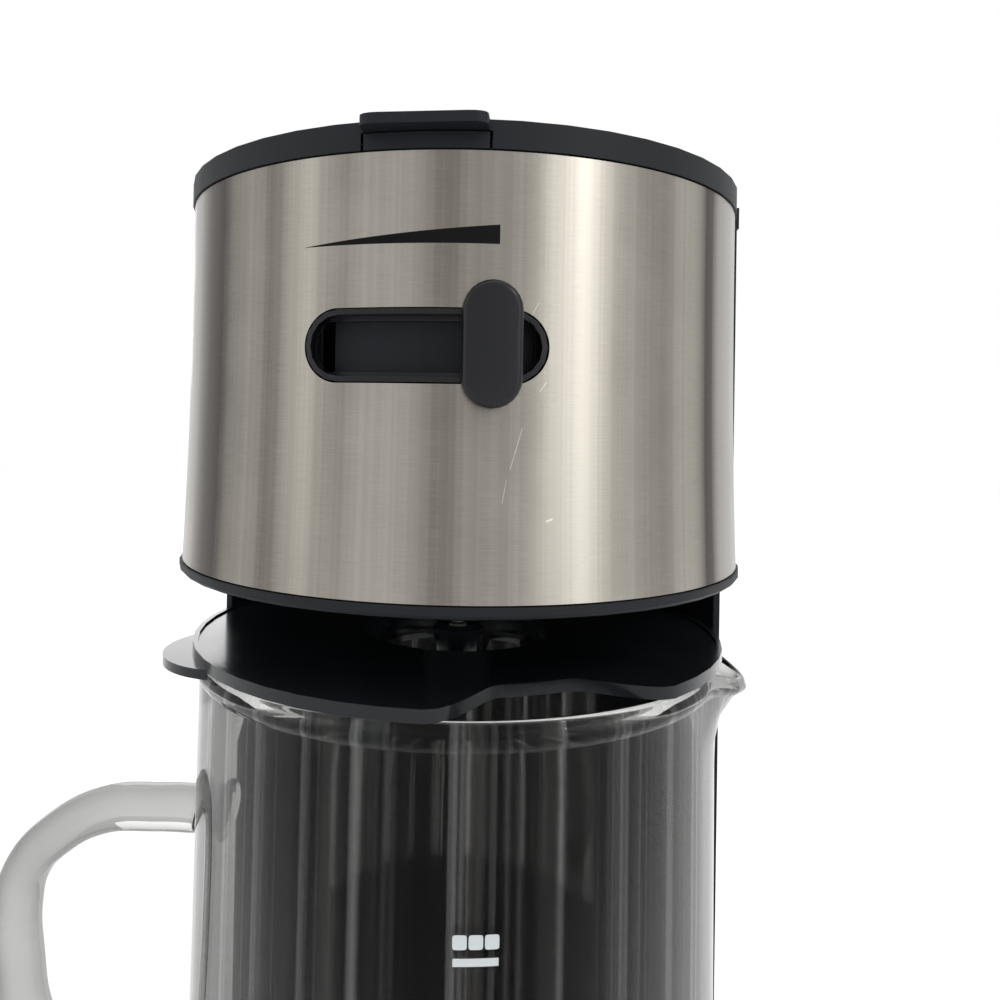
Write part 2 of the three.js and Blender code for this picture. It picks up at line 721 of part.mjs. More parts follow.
function rearHousing() {
  const outer = (hollowR, frontY, grow = 0) =>
    crescent(hollowR, HALF_WIDTH + grow, frontY, BACK_Y + grow, BACK_CORNER_R + grow);
  const lower = prism(outer(COLUMN_R, COLUMN_FRONT_Y), COLUMN_Z, HEAD_Z + GAP);
  const upper = prism(outer(HEAD_REAR_R + GAP, HEAD_SEAM_Y), HEAD_Z, HEAD_TOP_Z);
  const lip = prism(outer(HEAD_REAR_R + GAP, HEAD_SEAM_Y, LIP_OUT), HEAD_Z, HEAD_Z + LIP_H);
  const inside = prism(innerPlan(WALL), COLUMN_Z - CUT, HEAD_TOP_Z + CUT);
  const earX = BARREL_HALF + GAP;
  const ears = [-earX - EAR_W, earX].flatMap((x) => [
    rodAlongX(HINGE_R, x, x + EAR_W, HINGE_Y, HINGE_Z, SMALL),
    block(x, x + EAR_W, HINGE_Y - HINGE_R, HINGE_Y + HINGE_R, HEAD_TOP_Z - EAR_FOOT, HINGE_Z),
  ]);
  const bore = rodAlongX(PIN_R + GAP, -BACK_Y, BACK_Y, HINGE_Y, HINGE_Z, TINY);
  const deck = prism(outer(HEAD_REAR_R + GAP, HEAD_SEAM_Y), HEAD_TOP_Z - WALL, HEAD_TOP_Z);
  const shell = cut(join(lower, upper, lip), inside, channelNotch());
  return cut(join(shell, cut(deck, frontOf(LID_BACK_Y + RUN_GAP)), ...ears), bore);
}

const atOutlet = (body) => moved(body, OUTLET_X, OUTLET_Y);

/** The tank: the column's inner plan, less a groove at the back where the riser runs up. */
function waterTank() {
  const inset = WALL + TANK_GAP;
  const groove = (radius) =>
    join(
      moved(rod(radius, TANK_FLOOR_Z - CUT, TANK_TOP_Z + CUT), 0, RISER_Y),
      block(-radius, radius, RISER_Y, BACK_Y, TANK_FLOOR_Z - CUT, TANK_TOP_Z + CUT),
    );
  const grooveR = RISER_R + RISER_BORE_GAP;
  const outside = cut(prism(innerPlan(inset), TANK_FLOOR_Z, TANK_TOP_Z), groove(grooveR));
  const inside = cut(
    prism(innerPlan(inset + THIN_WALL), TANK_FLOOR_Z + THIN_WALL, TANK_TOP_Z + CUT),
    groove(grooveR + THIN_WALL),
  );
  const spigot = rod(OUTLET_R, SPIGOT_FOOT_Z, TANK_FLOOR_Z + GAP);
  const bore = rod(OUTLET_R - OUTLET_T, SPIGOT_FOOT_Z - CUT, TANK_FLOOR_Z + THIN_WALL + CUT);
  return cut(join(cut(outside, inside), atOutlet(spigot)), atOutlet(bore));
}

const tankSeal = () =>
  atOutlet(ring(OUTLET_R + GAP, OUTLET_R + TANK_SEAL_T, COLUMN_Z, TANK_FLOOR_Z - GAP, SMALL));

/** A duckbill in the tank's spigot: a flange over a bill that narrows to a slit. */
function checkValve() {
  const [outR, topZ] = [OUTLET_R - OUTLET_T - GAP, TANK_FLOOR_Z + THIN_WALL - GAP];
  const [neckZ, slitZ] = [topZ - VALVE_FLANGE_T, topZ - VALVE_LEN];
  const neckR = outR - GAP * 2;
  return atOutlet(
    turned(
      [[VALVE_SLIT_R, slitZ], [VALVE_SLIT_R * 2, slitZ], [neckR, neckZ], [outR, neckZ], [outR, topZ],
        [neckR - VALVE_SLIT_R, topZ]],
      TINY,
    ),
  );
}

// Head

const LEDGE_Z = HEAD_TOP_Z - LEDGE_DROP;
const BASKET_FLOOR_Z = HEAD_Z + BASKET_LIFT;
const VALVE_Z = BASKET_FLOOR_Z - GAP - VALVE_T;
const SLOT_Z = HEAD_TOP_Z - SLOT_DOWN;
const BEZEL_FLOOR_R = HEAD_R - BEZEL_DEPTH;
const BEZEL_IN_R = BEZEL_FLOOR_R - BEZEL_FLOOR_T;
const SHUTTER_R = BEZEL_IN_R - GAP;
const ARM_R = SHUTTER_R - SHUTTER_T - GAP;

const slotHole = (grow) =>
  frontBar(SLOT_HALF + grow, SLOT_H + 2 * grow, SLOT_H / 2 + grow, 0, SLOT_Z, -HEAD_R - CUT * 2, -BASKET_R);

function headShell() {
  const frontY = HEAD_SEAM_Y - GAP;
  const inset = BAND_T + GAP;
  const lipR = bandRadius(HEAD_Z) + LIP_OUT;
  const front = flaredWall(HEAD_R - BOWL_R, inset, HEAD_Z, HEAD_TOP_Z);
  const lip = turned(
    [
      [BOWL_R, HEAD_Z], [lipR - LIP_CHAMFER, HEAD_Z], [lipR, HEAD_Z + LIP_CHAMFER],
      [lipR, HEAD_Z + LIP_H - GAP], [lipR - GAP, HEAD_Z + LIP_H], [BOWL_R, HEAD_Z + LIP_H],
    ],
  );
  const rear = ring(BOWL_R, HEAD_REAR_R, HEAD_Z, HEAD_TOP_Z);
  const floor = ring(FLOOR_HOLE_R, BOWL_R + GAP, HEAD_Z, HEAD_Z + WALL);
  const ledge = turned(
    [
      [BOWL_R - LEDGE_W, LEDGE_Z], [BOWL_R - LEDGE_W, LEDGE_Z - LEDGE_T],
      [BOWL_R + GAP, LEDGE_Z - LEDGE_T * 2], [BOWL_R + GAP, LEDGE_Z],
    ],
  );
  const rail = ring(RAIL_R, RAIL_R + RAIL_T, HEAD_Z + WALL - GAP, VALVE_Z - GAP, SMALL * 2);
  const collar = join(
    ring(BOWL_R, HEAD_R - inset, HEAD_TOP_Z - CUT, HEAD_TOP_Z + CUT),
    ring(BOWL_R, HEAD_R + LID_OVERHANG, HEAD_TOP_Z + GAP, LID_TOP_Z - LID_TAB_T - GAP),
  ).intersect(block(-LID_TAB_W / 2, LID_TAB_W / 2, -HEAD_R * 2, 0, HEAD_Z, LID_TOP_Z));
  const bore = rod(BOWL_R, HEAD_Z + WALL, LID_TOP_Z + CUT, ROUND);
  const wall = cut(join(join(front, lip).intersect(frontOf(frontY)), rear), bore);
  return cut(join(wall, floor, ledge, rail, collar), slotHole(0), channelNotch());
}

function steelBand() {
  const band = flaredWall(BAND_T, 0, BAND_Z, HEAD_TOP_Z);
  return cut(band.intersect(frontOf(HEAD_SEAM_Y - GAP)), slotHole(0));
}

function strengthBezel() {
  const wall = ring(BEZEL_IN_R, HEAD_R + BEZEL_PROUD, SLOT_Z - SLOT_H, SLOT_Z + SLOT_H, ROUND * 2);
  const body = wall.intersect(slotHole(-GAP));
  const core = rod(BEZEL_FLOOR_R, SLOT_Z - SLOT_H, SLOT_Z + SLOT_H, ROUND * 2);
  const recess = cut(slotHole(-GAP - BEZEL_LIP), core);
  const opening = frontBar(WINDOW_HALF, WINDOW_H, WINDOW_ROUND, 0, SLOT_Z, -HEAD_R - CUT, -BASKET_R);
  return cut(body, recess, opening);
}

// The slider's pieces are made at the front and turned to the knob's place as one group.

const STEM_END_R = ARM_R - ARM_T - RUN_GAP;
const stemHole = () =>
  block(
    -STEM_W / 2 - GAP, STEM_W / 2 + GAP, -HEAD_R, -STEM_END_R + CUT,
    SLOT_Z - STEM_H / 2 - GAP, SLOT_Z + STEM_H / 2 + GAP,
  );

function strengthKnob() {
  const backY = -HEAD_R - KNOB_CLEAR;
  const cap = frontBar(
    KNOB_W / 2, KNOB_H, KNOB_W / 2, 0, SLOT_Z, backY - KNOB_PROUD, backY,
    { dome: KNOB_DOME, facets: ROUND / 2 },
  );
  const stem = block(
    -STEM_W / 2, STEM_W / 2, backY - KNOB_DOME, -STEM_END_R, SLOT_Z - STEM_H / 2, SLOT_Z + STEM_H / 2,
  );
  return join(cap, stem);
}

/** A sector of a ring, symmetric about the front. */
function frontSector(inner, outer, z0, z1, halfDegrees) {
  const [from, to] = [radians(-90 - halfDegrees), radians(halfDegrees - 90)];
  return prism([...arc(0, 0, outer, from, to), ...arc(0, 0, inner, to, from)], z0, z1);
}

function strengthShutter() {
  const plate = frontSector(
    SHUTTER_R - SHUTTER_T, SHUTTER_R, SLOT_Z - SHUTTER_H / 2, SLOT_Z + SHUTTER_H / 2, SHUTTER_HALF_DEG,
  );
  return cut(plate, stemHole());
}

function valveRing() {
  const disc = ring(VALVE_IN_R, VALVE_OUT_R, VALVE_Z, VALVE_Z + VALVE_T);
  const ports = portDegrees.map((degrees) => portHole(VALVE_Z, degrees));
  const armHalfDeg = THREE.MathUtils.radToDeg(Math.atan(ARM_W / 2 / ARM_R));
  const upright = frontSector(ARM_R - ARM_T, ARM_R, VALVE_Z, SLOT_Z + STEM_H / 2 + ARM_T, armHalfDeg);
  const spoke = block(
    -ARM_W / 2, ARM_W / 2, GAP - ARM_R, CUT - VALVE_OUT_R, VALVE_Z, VALVE_Z + VALVE_T,
  );
  return cut(join(disc, upright, spoke), ...ports, stemHole());
}

// The ports of the valve ring line up with the basket's while the knob is where it is now.

const portDegrees = Array.from({ length: PORT_COUNT }, (_, i) => (360 / PORT_COUNT) * (i + 0.5));

function portHole(z, degrees) {
  const place = around(PORT_RING_R, degrees);
  return moved(rod(PORT_R, z - CUT, z + VALVE_T + CUT * 2, TINY), place.x, place.y);
}

// Brewing basket, drip stop and filter

const FUNNEL_Z = BASKET_FLOOR_Z - FUNNEL_DROP;
const FLANGE_Z = LEDGE_Z + GAP;
const GUIDE_Z = FUNNEL_Z - GUIDE_T * 2;
const LID_DISC_Z = PITCHER_H + GAP;
const WELL_FLOOR_Z = LID_DISC_Z + DISC_T - WELL_DEPTH;
const BOSS_TOP_Z = SEAT_Z + WELL_FLOOR_Z + BOSS_H;
const NOZZLE_Z = BOSS_TOP_Z + NOZZLE_CLEAR;
const SEAT_TOP_Z = NOZZLE_Z + NOZZLE_SEAT_T;
const STOP_Z = SEAT_TOP_Z + STOP_STROKE + GAP;

function brewBasket() {
  const t = THIN_WALL;
  const bowl = turned(
    [
      [NOZZLE_SEAT_R, NOZZLE_Z], [NOZZLE_R, NOZZLE_Z], [NOZZLE_R, FUNNEL_Z],
      [BASKET_FUNNEL_R, BASKET_FLOOR_Z], [BASKET_FOOT_R, BASKET_FLOOR_Z], [BASKET_R, FLANGE_Z],
      [BOWL_R - RUN_GAP, FLANGE_Z], [BOWL_R - RUN_GAP, FLANGE_Z + t], [BASKET_R - t, FLANGE_Z + t],
      [BASKET_FOOT_R - t, BASKET_FLOOR_Z + t], [BASKET_FUNNEL_R, BASKET_FLOOR_Z + t],
      [NOZZLE_BORE, FUNNEL_Z + t], [NOZZLE_BORE, SEAT_TOP_Z], [NOZZLE_SEAT_R, SEAT_TOP_Z],
    ],
  );
  const ports = portDegrees.map((degrees) => portHole(BASKET_FLOOR_Z, degrees + KNOB_DEG));
  const guide = ring(STOP_STEM_R + GAP, GUIDE_R, GUIDE_Z, GUIDE_Z + GUIDE_T, SMALL);
  const half = GUIDE_T / 2;
  const arm = block(-half, half, -NOZZLE_BORE - GAP, GAP - GUIDE_R, GUIDE_Z, GUIDE_Z + GUIDE_T);
  const arms = [0, 120, 240].map((degrees) => turnedBy(arm, degrees));
  return join(cut(bowl, ...ports), guide, ...arms);
}

function dripStop(tipZ) {
  return turned(
    [
      [0, tipZ], [STOP_STEM_R - GAP, tipZ], [STOP_STEM_R, tipZ + GAP], [STOP_STEM_R, STOP_Z],
      [STOP_HEAD_R, STOP_Z], [STOP_HEAD_R, STOP_Z + STOP_HEAD_T], [STOP_STEM_R, STOP_Z + STOP_HEAD_T],
      [STOP_STEM_R, GUIDE_Z + GUIDE_T * 2], [0, GUIDE_Z + GUIDE_T * 2],
    ],
    SMALL,
  );
}

function stopSpring() {
  const wire = SPRING_WIRE / 2;
  const [z0, z1] = [STOP_Z + STOP_HEAD_T + GAP + wire, GUIDE_Z - GAP - wire];
  const helix = new Path((share) => {
    const angle = 2 * Math.PI * SPRING_TURNS * share;
    const [x, y] = [SPRING_R * Math.cos(angle), SPRING_R * Math.sin(angle)];
    return new THREE.Vector3(x, y, z0 + (z1 - z0) * share);
  });
  return swept(helix, wire, wire, SPRING_TURNS * COARSE, SPRING_SIDES);
}

const FILTER_TOP_Z = FLANGE_Z + THIN_WALL + GAP + THIN_WALL;
const FILTER_FLOOR_Z = FILTER_TOP_Z - FILTER_DEPTH;

/** The filter's basket: a cup of ribs round open windows, hung by its rim on the brew basket. */
function filterFrame() {
  const t = FILTER_WALL;
  const rimR = BASKET_R + FILTER_RIM;
  const cup = turned(
    [
      [0, FILTER_FLOOR_Z], [FILTER_FOOT_R, FILTER_FLOOR_Z], [FILTER_R, FILTER_TOP_Z - THIN_WALL],
      [rimR, FILTER_TOP_Z - THIN_WALL], [rimR, FILTER_TOP_Z], [FILTER_R - t, FILTER_TOP_Z],
      [FILTER_FOOT_R - t, FILTER_FLOOR_Z + t], [0, FILTER_FLOOR_Z + t],
    ],
  );
  const step = 360 / FILTER_WINDOWS;
  const halfChord = FILTER_FOOT_R * Math.sin(radians(step / 2)) * WINDOW_SIDE_SHARE;
  const rise = FILTER_DEPTH - THIN_WALL - t;
  const side = frontBar(
    halfChord, rise * WINDOW_SIDE_SHARE, WINDOW_ROUND, 0, FILTER_FLOOR_Z + t + rise / 2,
    -FILTER_R - CUT, -FILTER_FOOT_R * WINDOW_SIDE_SHARE, { facets: COARSE },
  );
  const floor = frontSector(
    FILTER_FOOT_R * FLOOR_WINDOW_IN_SHARE, FILTER_FOOT_R - t * 3,
    FILTER_FLOOR_Z - CUT, FILTER_FLOOR_Z + t + CUT, (step / 2) * WINDOW_SIDE_SHARE,
  );
  const windows = Array.from({ length: FILTER_WINDOWS }, (_, i) => [
    turnedBy(side, step * i), turnedBy(floor, step * i),
  ]).flat();
  return cut(cup, ...windows);
}

/** The fine metal cloth that lines the filter's windows. */
function filterMesh() {
  const [gap, t] = [FILTER_WALL + GAP, MESH_T];
  const topZ = FILTER_TOP_Z - THIN_WALL;
  const topR = FILTER_R - gap - GAP;
  const lowZ = FILTER_FLOOR_Z + gap;
  return turned(
    [
      [0, lowZ], [FILTER_FOOT_R - gap, lowZ], [topR, topZ], [topR - t, topZ],
      [FILTER_FOOT_R - gap - t, lowZ + t], [0, lowZ + t],
    ],
  );
}

// Lid of the head

function lidPlan(inset) {
  return footprint(
    HEAD_R + LID_OVERHANG - inset, HALF_WIDTH + LID_OVERHANG - inset, HEAD_SEAM_Y + inset,
    LID_BACK_Y - inset, BACK_CORNER_R - LID_BACK_GAP,
  );
}

function lidCover() {
  const frontY = -HEAD_R - LID_OVERHANG;
  const plate = prism(lidPlan(0), PLATE_Z, LID_TOP_Z);
  const skirt = cut(
    prism(lidPlan(0), LID_Z, PLATE_Z + GAP), prism(lidPlan(WALL), LID_Z - CUT, PLATE_Z + CUT),
  );
  const notch = block(
    -LID_TAB_W / 2 - RUN_GAP, LID_TAB_W / 2 + RUN_GAP, frontY - CUT, -BOWL_R + CUT, LID_Z - CUT,
    LID_TOP_Z - LID_TAB_T,
  );
  const tab = cut(lidTab(), rod(BOWL_R - CUT, LID_Z, LID_TOP_Z + CUT));
  const web = block(-BARREL_HALF, BARREL_HALF, LID_BACK_Y - WALL, HINGE_Y, PLATE_Z, LID_TOP_Z);
  const barrel = rodAlongX(HINGE_R, -BARREL_HALF, BARREL_HALF, HINGE_Y, HINGE_Z, SMALL);
  const bore = rodAlongX(PIN_R + GAP, -BACK_Y, BACK_Y, HINGE_Y, HINGE_Z, TINY);
  return cut(join(cut(join(plate, skirt), notch), tab, web, barrel), bore);
}

function lidTab() {
  const [half, r] = [LID_TAB_W / 2, LID_TAB_ROUND];
  const outY = -HEAD_R - LID_OVERHANG - LID_TAB_OUT;
  const plan = [
    new THREE.Vector2(half, -BASKET_R),
    new THREE.Vector2(-half, -BASKET_R),
    ...arc(r - half, outY + r, r, Math.PI, Math.PI * 1.5, SMALL),
    ...arc(half - r, outY + r, r, -Math.PI / 2, 0, SMALL),
  ];
  return prism(plan, LID_TOP_Z - LID_TAB_T, LID_TOP_Z);
}

/** The open-topped duct under the lid that leads the hot water from the riser to the spray disc. */
function lidChannel() {
  const half = CHANNEL_W / 2;
  const [frontY, backY] = [-half, RISER_Y + RISER_R + RISER_BORE_GAP - GAP];
  const duct = block(-half, half, frontY, backY, CHANNEL_Z, PLATE_Z - GAP);
  const inside = block(
    THIN_WALL - half, half - THIN_WALL, frontY + THIN_WALL, backY - THIN_WALL,
    CHANNEL_Z + THIN_WALL, LID_TOP_Z,
  );
  const outlet = rod(RISER_R, CHANNEL_Z - CUT, CHANNEL_Z + CUT * 2, SMALL);
  return cut(duct, inside, outlet, moved(outlet, 0, RISER_Y));
}

/** A soft ring under the lid that reaches into the bowl, open where the duct crosses it. */
function lidSeal() {
  const [inR, topZ] = [BOWL_R - SEAL_IN, PLATE_Z - GAP];
  return cut(ring(inR, inR + SEAL_T, topZ - SEAL_H, topZ), channelNotch());
}

function sprayDisc() {
  const topZ = CHANNEL_Z - GAP;
  const pan = turned(
    [
      [0, topZ - SPRAY_T], [SPRAY_R - SPRAY_T, topZ - SPRAY_T], [SPRAY_R, topZ - SPRAY_T / 2],
      [SPRAY_R, topZ], [SPRAY_R - THIN_WALL, topZ], [SPRAY_R - THIN_WALL, topZ - SPRAY_T / 2],
      [0, topZ - SPRAY_T / 2],
    ],
    SMALL * 2,
  );
  const holes = Array.from({ length: SPRAY_HOLES }, (_, i) => {
    const place = around(SPRAY_RING_R, (360 / SPRAY_HOLES) * i);
    return moved(rod(SPRAY_HOLE_R, topZ - SPRAY_T - CUT, topZ + CUT, COARSE), place.x, place.y);
  });
  return cut(pan, ...holes);
}

const hingePin = () => {
  const end = BARREL_HALF + GAP + EAR_W - GAP;
  return rodAlongX(PIN_R, -end, end, HINGE_Y, HINGE_Z, TINY);
};

// Pitcher, in its own frame: Z = 0 is the face that stands on the seat

/** Moves the rim outwards and down about +X, into the pouring spout. */
function pullSpout(geometry) {
  const place = geometry.getAttribute("position");
  const point = new THREE.Vector3();
  const smooth = THREE.MathUtils.smoothstep;
  for (let i = 0; i < place.count; i += 1) {
    point.fromBufferAttribute(place, i);
    const radius = Math.hypot(point.x, point.y);
    const degrees = Math.abs(THREE.MathUtils.radToDeg(Math.atan2(point.y, point.x)));
    const side = 1 - smooth(degrees, 0, SPOUT_HALF_DEG);
    const rise = smooth(point.z, PITCHER_H - SPOUT_H, PITCHER_H) ** 2;
    if (radius > 0 && side * rise > 0) {
      const pulled = (radius + SPOUT_OUT * side * rise) / radius;
      place.setXYZ(i, point.x * pulled, point.y * pulled, point.z - SPOUT_DIP * side * rise);
    }
  }
  return geometry;
}

/** The glass in profile: up the outside, round the rim's bead and down the inside to the floor. */
function glassProfile() {
  const outerR = (z) => GLASS_FOOT_R - ((GLASS_FOOT_R - GLASS_TOP_R) * z) / PITCHER_H;
  const innerR = (z) => outerR(z) - GLASS_WALL;
  const [beadZ, spoutZ] = [PITCHER_H - BEAD_H, PITCHER_H - SPOUT_H];
  const spoutLevels = [0, 0.5, 1].map((share) => spoutZ + (beadZ - spoutZ) * share);
  const bend = (share) => [Math.sin((Math.PI / 2) * share), 1 - Math.cos((Math.PI / 2) * share)];
  const steps = [0, 1 / 3, 2 / 3, 1].map(bend);
  const foot = steps.map(([out, up]) => [outerR(0) - FOOT_ROUND * (1 - out), FOOT_ROUND * up]);
  const floorR = innerR(0) - FLOOR_ROUND;
  const floor = steps.map(([out, up]) => [floorR + FLOOR_ROUND * out, GLASS_FLOOR + FLOOR_ROUND * up]);
  return [
    [0, 0],
    ...foot,
    ...spoutLevels.map((z) => [outerR(z), z]),
    [outerR(beadZ) + BEAD_OUT, beadZ + BEAD_H / 3],
    [outerR(beadZ) + BEAD_OUT, PITCHER_H - BEAD_H / 3],
    [outerR(PITCHER_H), PITCHER_H],
    [innerR(PITCHER_H) + BEAD_OUT, PITCHER_H],
    ...spoutLevels.map((z) => [innerR(z), z]).reverse(),
    ...floor.reverse(),
    [0, GLASS_FLOOR],
  ];
}

function handleCurve() {
  const rootX = -GLASS_FOOT_R + GLASS_WALL / 2;
  const rise = HANDLE_TOP - HANDLE_FOOT;
  const place = (outShare, downShare) =>
    new THREE.Vector3(rootX - HANDLE_BOW * outShare, 0, HANDLE_TOP - rise * downShare);
  return new THREE.CatmullRomCurve3(HANDLE_SHARES.map(([out, down]) => place(out, down)));
}

function pitcherGlass() {
  const points = glassProfile().map(([radius, z]) => new THREE.Vector2(radius, z));
  const body = solid(pullSpout(new THREE.LatheGeometry(points, ROUND).rotateX(Math.PI / 2)));
  const arm = swept(handleCurve(), HANDLE_THICK / 2, HANDLE_WIDE / 2, HANDLE_STEPS, HANDLE_SIDES);
  const flare = (z) => {
    const [tip, root] = [HANDLE_THICK / 2, HANDLE_THICK / 2 + ROOT_FLARE];
    const cone = new THREE.CylinderGeometry(root, tip, ROOT_FLARE * 2, SMALL);
    return solid(cone.rotateZ(-Math.PI / 2).translate(-GLASS_FOOT_R, 0, z));
  };
  const [footR, topR] = [GLASS_FOOT_R - GLASS_WALL, GLASS_TOP_R - GLASS_WALL];
  const core = turned([[0, CUT * 2], [footR, CUT * 2], [topR, PITCHER_H], [0, PITCHER_H]]);
  const handle = cut(join(arm, flare(HANDLE_TOP), flare(HANDLE_FOOT)), core);
  return join(body, handle);
}

/** The lid's outline: a circle with one wave-shaped bay for pouring. */
function discOutline(inset) {
  const smooth = THREE.MathUtils.smoothstep;
  const bay = Array.from({ length: BAY_STEPS + 1 }, (_, i) => {
    const off = (2 * i) / BAY_STEPS - 1;
    const depth = POUR_DEPTH * (1 - smooth(Math.abs(off), POUR_FLAT_SHARE, 1));
    return around(DISC_R - inset - depth, POUR_DEG + off * POUR_HALF_DEG);
  });
  const [from, to] = [POUR_DEG + POUR_HALF_DEG - 90, POUR_DEG - POUR_HALF_DEG + 270];
  return [...arc(0, 0, DISC_R - inset, radians(from), radians(to)).slice(1, -1), ...bay];
}

function pitcherLid() {
  const topZ = LID_DISC_Z + DISC_T;
  const disc = prism(discOutline(0), LID_DISC_Z, topZ);
  const bead = cut(
    prism(discOutline(0), topZ - GAP, topZ + DISC_BEAD_H),
    prism(discOutline(DISC_BEAD_T), topZ - CUT, topZ + CUT),
  );
  const tubR = WELL_R + THIN_WALL;
  const tub = rod(tubR, WELL_FLOOR_Z - THIN_WALL, LID_DISC_Z + GAP, ROUND);
  const well = rod(WELL_R, WELL_FLOOR_Z, topZ + CUT, ROUND);
  const bossZ = WELL_FLOOR_Z + BOSS_H;
  const boss = turned(
    [[0, WELL_FLOOR_Z - GAP], [BOSS_R, WELL_FLOOR_Z - GAP], [BOSS_R, bossZ - BOSS_ROUND],
      [BOSS_R - BOSS_ROUND, bossZ], [0, bossZ]],
    SMALL,
  );
  const holes = [-1, 1].map((side) =>
    rod(WELL_R - CUT, WELL_FLOOR_Z - CUT * 2, WELL_FLOOR_Z + CUT, ROUND).intersect(
      block(
        side > 0 ? WEB_HALF : -WELL_R, side > 0 ? WELL_R : -WEB_HALF, -WELL_R, WELL_R,
        WELL_FLOOR_Z - CUT * 2, WELL_FLOOR_Z + CUT,
      ),
    ),
  );
  const lugR = GLASS_TOP_R - GLASS_WALL - GAP * 2;
  const lugHalf = THREE.MathUtils.radToDeg(LUG_W / 2 / lugR);
  const lugs = LUG_DEGS.map((degrees) =>
    turnedBy(frontSector(lugR - LUG_T, lugR, LID_DISC_Z - LUG_H, LID_DISC_Z + GAP, lugHalf), degrees),
  );
  const tabPlace = around(DISC_R + TAB_OUT - TAB_R, TAB_DEG);
  const tabZ = topZ - TAB_DROP - TAB_T + GAP;
  const tab = cut(
    moved(rod(TAB_R, tabZ, tabZ + TAB_T, ROUND), tabPlace.x, tabPlace.y),
    rod(GLASS_TOP_R + BEAD_OUT + RUN_GAP, tabZ - CUT, tabZ + TAB_T + CUT, ROUND),
  );
  return join(cut(join(disc, bead, tub), well, ...holes), boss, ...lugs, tab);
}

// Assembly

const machine = new THREE.Group();

const base = new THREE.Group();
machine.add(base);
add(base, "base_housing", baseHousing(), MATTE_BLACK);
add(base, "base_cover", baseCover(), MATTE_BLACK);
footPlaces.forEach(([x, y], i) => {
  add(base, `foot_${i + 1}`, foot(), RUBBER).position.set(x, y, 0);
});
postPlaces.forEach(([x, y], i) => {
  add(base, `base_screw_${i + 1}`, screw(), WIRE).position.set(x, y, BASE_Z - GAP - SCREW_HEAD_T);
});
add(base, "seat_mat", rod(MAT_R, SEAT_Z - GAP - MAT_T, SEAT_Z - GAP, ROUND), RUBBER);
add(base, "power_button", powerButton(), GLOSS_BLACK);
add(base, "switch_body", switchBody(), MATTE_BLACK);
add(base, "power_lamp", lampLens(), RED_LENS);
add(base, "cord_gland", cordGland(), RUBBER);
add(base, "heater_tube", heaterTube(), ALUMINIUM);
add(base, "heater_cradle", heaterCradle(), ALUMINIUM);
add(base, "thermostat", sensor(SENSOR_R, -HEATER_BEND_R, SENSOR_Y), WIRE);
add(base, "thermal_fuse", sensor(FUSE_R, HEATER_BEND_R, SENSOR_Y), WIRE);
add(base, "inlet_hose", inletHose(), SILICONE);

const column = new THREE.Group();
machine.add(column);
add(column, "rear_housing", rearHousing(), MATTE_BLACK);
add(column, "water_tank", waterTank(), CLEAR_PLASTIC);
add(column, "tank_seal", tankSeal(), RUBBER);
add(column, "check_valve", checkValve(), SILICONE);
add(column, "riser_tube", riserTube(), SILICONE);

const head = new THREE.Group();
machine.add(head);
add(head, "head_shell", headShell(), MATTE_BLACK);
add(head, "steel_band", steelBand(), STEEL);
add(head, "strength_bezel", strengthBezel(), GLOSS_BLACK);
add(head, "brew_basket", brewBasket(), MATTE_BLACK);
add(head, "drip_stop", dripStop(BOSS_TOP_Z + GAP), SILICONE);
add(head, "stop_spring", stopSpring(), WIRE);
add(head, "filter_frame", filterFrame(), GLOSS_BLACK);
add(head, "filter_mesh", filterMesh(), GOLD_MESH);

const slider = new THREE.Group();
slider.rotation.z = radians(KNOB_DEG);
head.add(slider);
add(slider, "strength_knob", strengthKnob(), GLOSS_BLACK);
add(slider, "strength_shutter", strengthShutter(), MATTE_BLACK);
add(slider, "valve_ring", valveRing(), MATTE_BLACK);

const lid = new THREE.Group();
machine.add(lid);
add(lid, "lid_cover", lidCover(), MATTE_BLACK);
add(lid, "lid_channel", lidChannel(), MATTE_BLACK);
add(lid, "spray_disc", sprayDisc(), MATTE_BLACK);
add(lid, "lid_seal", lidSeal(), SILICONE);
add(lid, "hinge_pin", hingePin(), WIRE);

const pitcher = new THREE.Group();
pitcher.position.z = SEAT_Z;
machine.add(pitcher);
add(pitcher, "pitcher_glass", pitcherGlass(), GLASS);
add(pitcher, "pitcher_lid", pitcherLid(), GLOSS_BLACK);

// The finished part stands on Z = 0 with the middle of its box over the origin.
const box = new THREE.Box3().setFromObject(machine, true);
const middle = box.getCenter(new THREE.Vector3());
machine.position.set(-middle.x, -middle.y, -box.min.z);
const teaMaker = new THREE.Group();
teaMaker.add(machine);

export default teaMaker;
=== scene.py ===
# %% [markdown]
# This is an iced tea maker. It has a black base and column, a brewing head wrapped in brushed
# steel, and a thick glass pitcher that stands under the head. All of it could be modelled again
# here, but then the looks and the part would drift apart. So the packed part is the frame. Most
# of its pieces are used or copied as they are, and the few that are made anew keep to their
# boxes. Blender adds what an eye sees close up: rounded edges, grain, gloss and glass.

# %% The part and its box
import math

import bmesh
import bpy
from mathutils import Matrix, Vector


